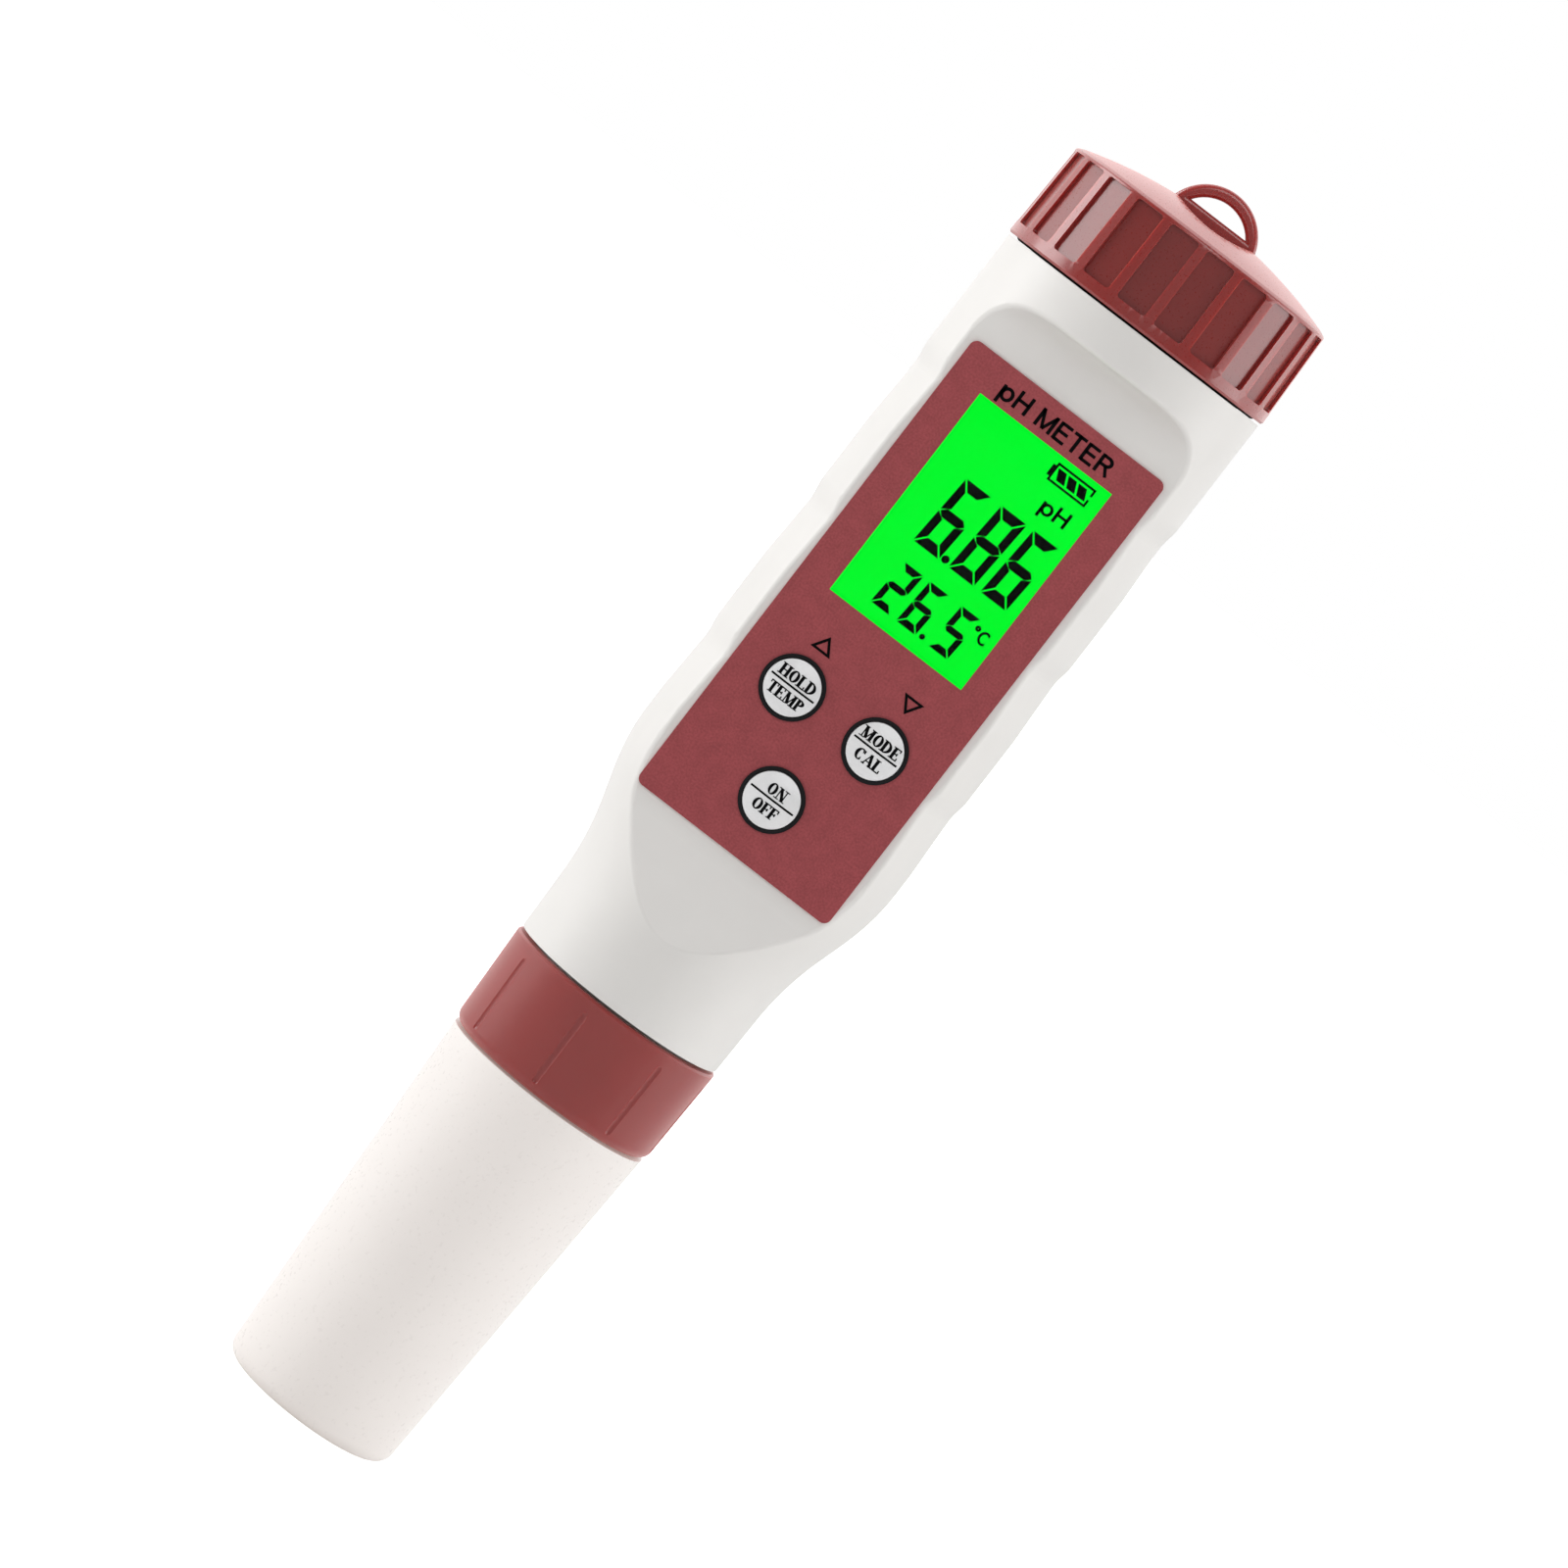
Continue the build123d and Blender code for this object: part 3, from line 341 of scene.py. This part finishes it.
finishes = {
    "rose_plastic": plastic("rose_plastic", (0.295, 0.020, 0.016), 0.32, depth=0.0007, mottle=0.04,
                            coat=0.55, extra=roseGlow),
    "white_plastic": plastic("white_plastic", (0.83, 0.81, 0.782), 0.42, depth=0.0015, mottle=0.01),
    # the pearl plastic glows with painted light
    "pearl_plastic": plastic("pearl_plastic", (0.71, 0.688, 0.668), 0.3, grain=0.5, depth=0.0008,
                             mottle=0.008, coat=0.15, extra=pearlPaintedGlow),
    "label_film": labelSkin("label_film", (0.355, 0.066, 0.074)),
    "window_clear": clearPlastic("window_clear", (0.97, 0.99, 0.97, 1), (1, 1, 1, 1), 0.01, 1.1),
    "button_silver": plastic("button_silver", (0.88, 0.88, 0.885), 0.24, grain=0.5, depth=0.001,
                             mottle=0.02, coat=0.3),
    "black_rubber": plastic("black_rubber", (0.006, 0.006, 0.007), 0.6, mottle=0.2, specular=0.2),
    "lcd_green": litGlass("lcd_green"),
    "guide_clear": clearPlastic("guide_clear", (0.85, 0.95, 0.88, 1), (0.9, 1, 0.93, 1), 0.05),
    "led_white": plastic("led_white", (0.9, 0.88, 0.7), 0.3, mottle=0.05),
    "white_film": plastic("white_film", (0.85, 0.85, 0.84), 0.5, mottle=0.02),
    "zebra_rubber": plastic("zebra_rubber", (0.16, 0.16, 0.18), 0.6, grain=0.1, mottle=0.4),
    "board_green": boardMask("board_green"),
    "chip_black": plastic("chip_black", (0.02, 0.02, 0.021), 0.45, grain=0.12, depth=0.008, mottle=0.2),
    "chip_ceramic": plastic("chip_ceramic", (0.45, 0.33, 0.2), 0.5, mottle=0.1),
    "spring_steel": metal("spring_steel", (0.62, 0.62, 0.62), 0.25),
    "cell_steel": metal("cell_steel", (0.68, 0.68, 0.69), 0.2, (12, 12, 1)),
    "sensor_steel": metal("sensor_steel", (0.6, 0.6, 0.62), 0.14, (8, 8, 1)),
    "gold_contact": metal("gold_contact", (0.85, 0.6, 0.22), 0.2),
    "silver_wire": metal("silver_wire", (0.78, 0.78, 0.8), 0.18),
    "porous_ceramic": plastic("porous_ceramic", (0.82, 0.79, 0.72), 0.8, grain=0.1, depth=0.03, mottle=0.1),
    "bulb_glass": clearPlastic("bulb_glass", (0.9, 0.96, 0.97, 1), (0.96, 1, 1, 1), 0.01),
    "electrode_plastic": plastic("electrode_plastic", (0.05, 0.06, 0.08), 0.3, mottle=0.1),
    "sponge": sponge("sponge", (0.75, 0.66, 0.3)),
    "tray_plastic": plastic("tray_plastic", (0.2, 0.21, 0.22), 0.5, mottle=0.08),
    "ribbon_film": plastic("ribbon_film", (0.5, 0.27, 0.06), 0.35, mottle=0.1),
    "lead_red": plastic("lead_red", (0.5, 0.015, 0.012), 0.4, mottle=0.1),
    "lead_black": plastic("lead_black", (0.02, 0.02, 0.02), 0.4, mottle=0.2),
    "liner_foam": plastic("liner_foam", (0.09, 0.09, 0.09), 0.85, grain=0.2, depth=0.06, mottle=0.25),
}
inkBlack = plastic("ink_black", (0.002, 0.002, 0.0025), 0.6, grain=0.15, mottle=0.2, specular=0.05)

for part in frame["record"]["subparts"]:
    node = frame["nodes"][part["node"]]
    node.data.materials.clear()
    node.data.materials.append(finishes[part["material_slot"]])
print("materials on", len(frame["nodes"]), "nodes")


# helpers for printed and displayed marks, which are thin solids facing -Y
inkDepth = 0.03 * mm
# the room left between a mark and the surface under it
glassGap = 0.01 * mm
labelGap = 0.005 * mm


def startPiece(name):
    piece = bpy.context.object
    piece.name = name
    piece.data.name = name
    return piece


def applyPlace():
    bpy.ops.object.transform_apply(location=True, rotation=True, scale=True)


def finishPiece(piece, body, material):
    piece.data.materials.clear()
    piece.data.materials.append(material)
    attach(piece, body)


def joinPieces(pieces, name):
    bpy.ops.object.select_all(action="DESELECT")
    for piece in pieces:
        piece.select_set(True)
    bpy.context.view_layer.objects.active = pieces[0]
    if len(pieces) > 1:
        bpy.ops.object.join()
    return startPiece(name)


def addBar(x, z, width, height, front, depth):
    bpy.ops.object.select_all(action="DESELECT")
    bpy.ops.mesh.primitive_cube_add(size=1, location=(x, front + depth / 2, z), scale=(width, depth, height))
    applyPlace()
    return bpy.context.object


def thicken(piece):
    # gives a flat outline the ink's thickness, half on each side
    sheet = piece.modifiers.new("thickness", "SOLIDIFY")
    sheet.thickness = inkDepth
    sheet.offset = 0.0
    bpy.ops.object.modifier_apply(modifier=sheet.name)


def faceOut():
    bpy.ops.object.mode_set(mode="EDIT")
    bpy.ops.mesh.select_all(action="SELECT")
    bpy.ops.mesh.normals_make_consistent(inside=False)
    bpy.ops.object.mode_set(mode="OBJECT")


def mitre(bar, offset):
    # bevels the four corner edges that run through the bar's depth
    bpy.ops.object.mode_set(mode="EDIT")
    bpy.ops.mesh.select_all(action="DESELECT")
    bpy.ops.mesh.select_mode(type="EDGE")
    bpy.ops.object.mode_set(mode="OBJECT")
    for edge in bar.data.edges:
        ends = [bar.data.vertices[n].co for n in edge.vertices]
        edge.select = abs(ends[0].y - ends[1].y) > inkDepth / 2
    bpy.ops.object.mode_set(mode="EDIT")
    bpy.ops.mesh.bevel(offset=offset, segments=1, affect="EDGES", clamp_overlap=True)
    bpy.ops.object.mode_set(mode="OBJECT")


# the two readings on the display, in seven segments each
segmentsOf = {"2": "abged", "5": "afgcd", "6": "afgecd", "8": "abcdefg"}
readingSetup = {
    "lcd_ph_reading": {"places": (("6", -5.59), ("8", -0.29), ("6", 4.55)), "point": -1.12, "base": -4.1,
                       "width": 3.85, "height": 9.7, "upright": 1.05, "level": 1.3, "dot": 0.5, "gap": 0.15},
    "lcd_temperature_reading": {"places": (("2", -5.18), ("6", -1.33), ("5", 3.48)), "point": 2.32,
                                "base": -13.0, "width": 2.9, "height": 6.2, "upright": 0.78, "level": 0.9,
                                "dot": 0.36, "gap": 0.12},
}
readingLean = math.tan(math.radians(3.5))
# the middle bar's height and how far its corners are cut, in parts of a level bar's height
middleBar = {"height": 0.92, "cut": 0.45}


def addSegment(letter, left, base, setup, front):
    # a bar whose ends are cut to meet its neighbours at a corner, with a gap between
    width, upright, level, gap = setup["width"], setup["upright"], setup["level"], setup["gap"]
    half = setup["height"] / 2
    if letter == "g":
        bar = addBar((left + width / 2) * mm, (base + half) * mm, (width - 2 * gap) * mm,
                     level * middleBar["height"] * mm, front, inkDepth)
        mitre(bar, level * middleBar["cut"] * mm)
        return bar
    if letter in "ad":
        x, z = left + width / 2, base + (2 * half - level / 2 if letter == "a" else level / 2)
        bar = addBar(x * mm, z * mm, (width - 2 * gap) * mm, level * mm, front, inkDepth)
        inwards = -1 if letter == "a" else 1
        for corner in bar.data.vertices:
            if (corner.co.z - z * mm) * inwards > 0:
                corner.co.x -= math.copysign(upright * mm, corner.co.x - x * mm)
        return bar
    x = left + (upright / 2 if letter in "ef" else width - upright / 2)
    outwards = 1 if letter in "bf" else -1
    z = base + half * (1 + outwards / 2)
    bar = addBar(x * mm, z * mm, upright * mm, (half - 2 * gap) * mm, front, inkDepth)
    inwards = 1 if letter in "ef" else -1
    for corner in bar.data.vertices:
        if (corner.co.x - x * mm) * inwards > 0:
            outer = (corner.co.z - z * mm) * outwards > 0
            corner.co.z -= outwards * (level if outer else -level / 2) * mm
    return bar


def makeReading(name, setup, middle, front):
    base = setup["base"] + middle / mm
    pieces = [addSegment(letter, left, base, setup, front)
              for digit, left in setup["places"] for letter in segmentsOf[digit]]
    bpy.ops.object.select_all(action="DESELECT")
    bpy.ops.mesh.primitive_cylinder_add(vertices=24, radius=setup["dot"] * mm, depth=inkDepth,
                                        location=(setup["point"] * mm, front + inkDepth / 2,
                                                  (base + setup["dot"]) * mm), rotation=(math.pi / 2, 0, 0))
    applyPlace()
    pieces.append(bpy.context.object)
    reading = joinPieces(pieces, name)
    for corner in reading.data.vertices:
        corner.co.x += readingLean * (corner.co.z - base * mm)
    finishPiece(reading, "housing", inkBlack)


# words in two styles, made of strokes
# a letter is its width, its strokes, its bowls and its feet, in parts of the letter's height;
# a stroke runs from one point to another at a weight, and a bowl is an oval, whole or cut off at x
thick, thin, serif, serifLine, bold = 0.25, 0.1, 0.1, 0.08, 0.165
bowlSetup = {"corners": 32, "ring": 0.3}
serifShapes = {
    "H": (0.86, ((0.18, 0, 0.18, 1, thick), (0.68, 0, 0.68, 1, thick), (0.18, 0.5, 0.68, 0.5, thin)), (),
          (0.18, 0.68)),
    "O": (0.84, (), ((0.42, 0.5, 0.39, 0.5, 0, 0),), ()),
    "L": (0.72, ((0.18, 0, 0.18, 1, thick), (0.18, 0.04, 0.66, 0.04, thin), (0.63, 0, 0.63, 0.28, thin)), (),
          (0.18,)),
    "D": (0.86, ((0.18, 0, 0.18, 1, thick),), ((0.24, 0.5, 0.56, 0.5, 0.2, 1),), (0.18,)),
    "T": (0.78, ((0.39, 0, 0.39, 1, thick), (0.04, 0.96, 0.74, 0.96, thin), (0.07, 0.74, 0.07, 1, thin),
                 (0.71, 0.74, 0.71, 1, thin)), (), (0.39,)),
    "E": (0.74, ((0.18, 0, 0.18, 1, thick), (0.18, 0.04, 0.66, 0.04, thin), (0.18, 0.5, 0.5, 0.5, thin),
                 (0.18, 0.96, 0.64, 0.96, thin), (0.63, 0, 0.63, 0.27, thin), (0.61, 0.75, 0.61, 1, thin),
                 (0.48, 0.38, 0.48, 0.62, thin)), (), (0.18,)),
    "M": (1.06, ((0.16, 0, 0.16, 1, thin), (0.86, 0, 0.86, 1, thick), (0.2, 0.97, 0.5, 0.06, thick),
                 (0.5, 0.06, 0.84, 0.97, thin)), (), (0.16, 0.86)),
    "P": (0.74, ((0.18, 0, 0.18, 1, thick),), ((0.24, 0.73, 0.44, 0.27, 0.2, 1),), (0.18,)),
    "C": (0.8, ((0.7, 0.68, 0.7, 0.97, thin),), ((0.44, 0.5, 0.4, 0.5, 0.64, -1),), ()),
    "A": (0.88, ((0.14, 0, 0.44, 1, thin), (0.44, 1, 0.74, 0, thick), (0.24, 0.33, 0.64, 0.33, thin),
                 (0.02, 0.04, 0.28, 0.04, thin), (0.56, 0.04, 0.9, 0.04, thin)), (), ()),
    "N": (0.92, ((0.18, 0, 0.18, 1, thin), (0.74, 0, 0.74, 1, thin), (0.2, 0.94, 0.72, 0.06, thick)), (),
          (0.18, 0.74)),
    "F": (0.7, ((0.18, 0, 0.18, 1, thick), (0.18, 0.5, 0.5, 0.5, thin), (0.18, 0.96, 0.62, 0.96, thin),
                (0.6, 0.72, 0.6, 1, thin), (0.48, 0.38, 0.48, 0.62, thin)), (), (0.18,)),
}
plainShapes = {
    " ": (0.36, (), (), ()),
    "H": (0.86, ((0.12, 0, 0.12, 1, bold), (0.7, 0, 0.7, 1, bold), (0.12, 0.52, 0.7, 0.52, bold)), (), ()),
    "M": (1.0, ((0.12, 0, 0.12, 1, bold), (0.84, 0, 0.84, 1, bold), (0.13, 0.95, 0.48, 0.06, bold),
                (0.48, 0.06, 0.83, 0.95, bold)), (), ()),
    "E": (0.78, ((0.12, 0, 0.12, 1, bold), (0.12, 0.07, 0.68, 0.07, bold), (0.12, 0.52, 0.64, 0.52, bold),
                 (0.12, 0.93, 0.68, 0.93, bold)), (), ()),
    "T": (0.76, ((0.36, 0, 0.36, 1, bold), (0.02, 0.93, 0.7, 0.93, bold)), (), ()),
    "R": (0.84, ((0.12, 0, 0.12, 1, bold), (0.12, 0.93, 0.48, 0.93, bold), (0.12, 0.5, 0.48, 0.5, bold),
                 (0.46, 0.48, 0.72, 0.03, bold)), ((0.44, 0.715, 0.28, 0.285, 0.44, 1),), ()),
    "p": (0.8, ((0.12, -0.28, 0.12, 0.72, bold),), ((0.4, 0.35, 0.33, 0.38, 0, 0),), ()),
    "C": (0.84, (), ((0.44, 0.5, 0.4, 0.5, 0.66, -1),), ()),
    "\u00b0": (0.42, (), ((0.2, 0.82, 0.19, 0.2, 0, 0),), ()),
}


def addStroke(x0, z0, x1, z1, weight, front):
    length = math.hypot(x1 - x0, z1 - z0)
    bpy.ops.object.select_all(action="DESELECT")
    bpy.ops.mesh.primitive_cube_add(size=1, scale=(length, inkDepth, weight),
                                    location=((x0 + x1) / 2, front + inkDepth / 2, (z0 + z1) / 2),
                                    rotation=(0, -math.atan2(z1 - z0, x1 - x0), 0))
    applyPlace()
    return bpy.context.object


def addBowl(x, z, wide, tall, cut, keep, heavy, light, front):
    # an oval ring, heavy at its sides and light at top and bottom, cut off at an x where keep isn't 0
    bpy.ops.object.select_all(action="DESELECT")
    bpy.ops.mesh.primitive_circle_add(vertices=bowlSetup["corners"], radius=1, fill_type="NGON",
                                      rotation=(math.pi / 2, 0, 0))
    bowl = bpy.context.object
    applyPlace()
    bpy.ops.object.mode_set(mode="EDIT")
    bpy.ops.mesh.select_all(action="SELECT")
    bpy.ops.mesh.inset(thickness=bowlSetup["ring"])
    bpy.ops.mesh.delete(type="FACE")
    bpy.ops.object.mode_set(mode="OBJECT")
    for corner in bowl.data.vertices:
        length = math.hypot(corner.co.x, corner.co.z)
        inner = length < 1 - bowlSetup["ring"] / 2
        across, up = corner.co.x / length, corner.co.z / length
        corner.co = (x + across * (wide - heavy if inner else wide), front + inkDepth / 2,
                     z + up * (tall - light if inner else tall))
    if keep:
        bpy.ops.object.mode_set(mode="EDIT")
        bpy.ops.mesh.select_all(action="SELECT")
        bpy.ops.mesh.bisect(plane_co=(cut, 0, 0), plane_no=(1, 0, 0),
                            clear_inner=keep > 0, clear_outer=keep < 0)
        bpy.ops.object.mode_set(mode="OBJECT")
    thicken(bowl)
    return bowl


def addWord(words, shapes, middle, low, width, height, front):
    # the bowls' line is heavy at the sides and thin at top and bottom where the letters have feet
    total = sum(shapes[letter][0] for letter in words)
    across = width / total
    left = middle - width / 2
    heavy, light = (thick, thin) if shapes is serifShapes else (bold, bold)
    pieces = []
    for letter in words:
        advance, strokes, bowls, feet = shapes[letter]
        for x0, z0, x1, z1, weight in strokes:
            scale = across if x0 == x1 else height
            pieces.append(addStroke(left + x0 * across, low + z0 * height, left + x1 * across,
                                    low + z1 * height, weight * scale, front))
        for x, z, wide, tall, cut, keep in bowls:
            pieces.append(addBowl(left + x * across, low + z * height, wide * across, tall * height,
                                  left + cut * across, keep, heavy * across, light * height, front))
        for x in feet:
            for z in (serifLine / 2, 1 - serifLine / 2):
                reach = (heavy / 2 + serif) * across
                pieces.append(addStroke(left + x * across - reach, low + z * height,
                                        left + x * across + reach, low + z * height,
                                        serifLine * height, front))
        left += advance * across
    return pieces


def makePlainWord(name, words, left, low, width, height, front):
    middle = (left + width / 2) * mm
    pieces = addWord(words, plainShapes, middle, low * mm, width * mm, height * mm, front)
    finishPiece(joinPieces(pieces, name), "housing", inkBlack)


# marks on the display, placed from the window's middle
markSetup = {
    "battery": {"left": 2.59, "right": 8.24, "middle": 12.65, "height": 2.5, "line": 0.28,
                "nub": 0.4, "nubHeight": 0.6, "gap": 0.5, "bars": 3, "space": 0.3, "lean": 0.45},
    "ph": {"left": 3.95, "low": 7.75, "width": 4.1, "height": 2.05},
    "celsius": {"left": 6.7, "low": -9.25, "width": 2.5, "height": 1.8},
}


def makeBatteryMark(middle, front):
    setup = markSetup["battery"]
    left, right, line, height = setup["left"], setup["right"], setup["line"], setup["height"]
    z = setup["middle"] + middle / mm
    centre = (left + right) / 2
    end = (height - setup["gap"]) / 2
    rows = [(centre, z + (height - line) / 2, right - left, line),
            (centre, z - (height - line) / 2, right - left, line),
            (left + line / 2, z, line, height),
            (left - setup["nub"] / 2, z, setup["nub"], height * setup["nubHeight"]),
            (right - line / 2, z + setup["gap"] / 2 + end / 2, line, end),
            (right - line / 2, z - setup["gap"] / 2 - end / 2, line, end)]
    pieces = [addBar(x * mm, h * mm, w * mm, t * mm, front, inkDepth) for x, h, w, t in rows]
    room = right - left - 4 * line
    pitch = room / setup["bars"]
    for n in range(setup["bars"]):
        x = left + 2 * line + pitch * (n + 0.5)
        bar = addBar(x * mm, z * mm, (pitch - setup["space"]) * mm, (height - 4 * line) * mm, front, inkDepth)
        for corner in bar.data.vertices:
            corner.co.x -= setup["lean"] * (corner.co.z - z * mm)
        pieces.append(bar)
    finishPiece(joinPieces(pieces, "lcd_battery_mark"), "housing", inkBlack)


windowLow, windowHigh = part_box("display_window")
windowMiddle = (windowLow.z + windowHigh.z) / 2
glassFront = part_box("lcd_front_glass")[0].y - inkDepth - glassGap
for name, setup in readingSetup.items():
    makeReading(name, setup, windowMiddle, glassFront)
makeBatteryMark(windowMiddle, glassFront)
for name, words, key in (("lcd_ph_mark", "pH", "ph"), ("lcd_celsius_mark", "\u00b0C", "celsius")):
    spot = markSetup[key]
    makePlainWord(name, words, spot["left"], spot["low"] + windowMiddle / mm, spot["width"], spot["height"],
                  glassFront)
print("display readings made")


# the label's header and the two arrow marks
labelSetup = {
    "header": "pH METER", "left": -8.3, "width": 16.6, "height": 2.4, "underTop": 3.9,
    "arrowWidth": 2.85, "arrowHeight": 2.2, "arrowLine": 0.34,
    "arrows": (("label_up_mark", "hold_button", 6.5, 1), ("label_down_mark", "mode_button", 6.7, -1)),
}


def makeArrow(name, x, z, front, way):
    radius = labelSetup["arrowWidth"] / math.sqrt(3)
    bpy.ops.object.select_all(action="DESELECT")
    bpy.ops.mesh.primitive_circle_add(vertices=3, radius=radius * mm, fill_type="NGON",
                                      rotation=(math.pi / 2, 0, 0))
    arrow = startPiece(name)
    applyPlace()
    bpy.ops.object.mode_set(mode="EDIT")
    bpy.ops.mesh.select_all(action="SELECT")
    bpy.ops.mesh.inset(thickness=labelSetup["arrowLine"] * mm)
    bpy.ops.mesh.delete(type="FACE")
    bpy.ops.object.mode_set(mode="OBJECT")
    xs = [corner.co.x for corner in arrow.data.vertices]
    zs = [corner.co.z for corner in arrow.data.vertices]
    wide, tall = max(xs) - min(xs), max(zs) - min(zs)
    upright = 1 if sum(zs) / len(zs) < (max(zs) + min(zs)) / 2 else -1
    arrow.scale = (labelSetup["arrowWidth"] * mm / wide, 1,
                   upright * way * labelSetup["arrowHeight"] * mm / tall)
    arrow.location = (x, front, z - arrow.scale[2] * (max(zs) + min(zs)) / 2)
    applyPlace()
    thicken(arrow)
    faceOut()
    finishPiece(arrow, "housing", inkBlack)


labelLow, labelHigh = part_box("face_label")
labelFront = labelLow.y - inkDepth - labelGap
makePlainWord("label_header", labelSetup["header"], labelSetup["left"],
              labelHigh.z / mm - labelSetup["underTop"], labelSetup["width"], labelSetup["height"],
              labelFront)
for name, button, rise, way in labelSetup["arrows"]:
    buttonLow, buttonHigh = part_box(button)
    x, z = (buttonLow.x + buttonHigh.x) / 2, (buttonLow.z + buttonHigh.z) / 2 + rise * mm
    makeArrow(name, x, z, labelFront, way)
print("label printed")


# button legends, laid on the domes
legendSetup = {
    "hold_button": (("HOLD", 5.2, 0.5), ("TEMP", 5.1, -2.0)),
    "mode_button": (("MODE", 5.5, 0.5), ("CAL", 3.9, -2.0)),
    "power_button": (("ON", 2.6, 0.5), ("OFF", 3.5, -2.0)),
}
domeSetup = {"radius": 3.5, "sag": 0.55, "letter": 1.5, "rule": 6.3, "ruleLine": 0.24, "ruleRise": 0.1,
             "ruleCuts": 15, "lift": 0.035, "sink": 0.05}


def layOnDome(piece, x, z, apex):
    # the letters stand a little proud of the dome and reach a little into it
    radius, sag = domeSetup["radius"], domeSetup["sag"]
    sphere = (radius ** 2 + sag ** 2) / (2 * sag)
    for corner in piece.data.vertices:
        away = math.hypot(corner.co.x - x, corner.co.z - z) / mm
        drop = sphere - math.sqrt(sphere ** 2 - away ** 2)
        outside = corner.co.y < apex + inkDepth / 2
        corner.co.y = apex + (drop - domeSetup["lift"] if outside else drop + domeSetup["sink"]) * mm


def makeLegend(button, rows):
    # each row is its words, its width and its letters' foot above the button's middle
    lowest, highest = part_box(button)
    x, z = (lowest.x + highest.x) / 2, (lowest.z + highest.z) / 2
    pieces = []
    for words, width, base in rows:
        pieces += addWord(words, serifShapes, x, z + base * mm, width * mm, domeSetup["letter"] * mm,
                          lowest.y)
    rule = addBar(x, z + domeSetup["ruleRise"] * mm, domeSetup["rule"] * mm, domeSetup["ruleLine"] * mm,
                  lowest.y, inkDepth)
    bpy.ops.object.mode_set(mode="EDIT")
    bpy.ops.mesh.select_all(action="SELECT")
    bpy.ops.mesh.subdivide(number_cuts=domeSetup["ruleCuts"])
    bpy.ops.object.mode_set(mode="OBJECT")
    legend = joinPieces(pieces + [rule], button.replace("button", "legend"))
    layOnDome(legend, x, z, lowest.y)
    faceOut()
    finishPiece(legend, button, inkBlack)


for button, rows in legendSetup.items():
    makeLegend(button, rows)
print("button legends laid")


# the battery cap again, with the edges of its grip panels rounded so that they catch the light
# the cap's colour is painted darker on the panel floors, as painted shade, and lighter on the dome and its
# loop, as painted light
capSetup = {"round": 0.17, "segments": 3, "sharp": 35.0, "flat": 0.1, "skin": 0.12, "smooth": 30.0,
            "skirt": 13.2, "lean": 0.4, "foot": 1.0, "doubles": 0.002,
            "color": (0.295, 0.019, 0.015), "rough": (0.26, 0.35), "coat": 1.0, "grain": 0.25,
            "grainDepth": 0.0006, "sunk": (0.3, 0.5), "floorShadeTone": 0.78, "topLightBlend": 0.5, "topLightTone": 1.3}


def makeBatteryCap():
    source = frame["nodes"]["battery_cap"]
    lowest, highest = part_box("battery_cap")
    cap = bpy.data.objects.new("battery_cap_skin", source.data.copy())
    bpy.context.scene.collection.objects.link(cap)
    bpy.ops.object.select_all(action="DESELECT")
    cap.select_set(True)
    bpy.context.view_layer.objects.active = cap
    bpy.ops.object.mode_set(mode="EDIT")
    bpy.ops.mesh.select_mode(type="EDGE")
    bpy.ops.mesh.select_all(action="SELECT")
    bpy.ops.mesh.remove_doubles(threshold=capSetup["doubles"] * mm)
    bpy.ops.mesh.dissolve_limited(angle_limit=math.radians(capSetup["flat"]))
    bpy.ops.mesh.select_all(action="DESELECT")
    bpy.ops.mesh.edges_select_sharp(sharpness=math.radians(capSetup["sharp"]))
    bpy.ops.object.mode_set(mode="OBJECT")
    # only the sharp edges on the skirt's outside, above its foot, are rounded
    lean = capSetup["lean"] / capSetup["skirt"]
    for edge in cap.data.edges:
        ends = [cap.data.vertices[n].co for n in edge.vertices]
        outside = all(math.hypot(end.x, end.y) + (end.z - lowest.z) * lean > highest.x - capSetup["skin"] * mm
                      for end in ends)
        above = all(end.z > lowest.z + capSetup["foot"] * mm for end in ends)
        edge.select = edge.select and outside and above
    bpy.ops.object.mode_set(mode="EDIT")
    bpy.ops.mesh.bevel(offset=capSetup["round"] * mm, segments=capSetup["segments"], affect="EDGES",
                       clamp_overlap=True)
    bpy.ops.object.mode_set(mode="OBJECT")
    bpy.ops.mesh.customdata_custom_splitnormals_clear()
    bpy.ops.object.shade_smooth_by_angle(angle=math.radians(capSetup["smooth"]))
    even = cap.modifiers.new("even normals", "WEIGHTED_NORMAL")
    even.keep_sharp = True
    bpy.ops.object.modifier_apply(modifier=even.name)
    cap.data.materials.clear()
    cap.data.materials.append(capPlastic("cap_plastic", capSetup))
    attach(cap, "battery_cap")
    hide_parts("battery_cap")


makeBatteryCap()
print("battery cap edges rounded")
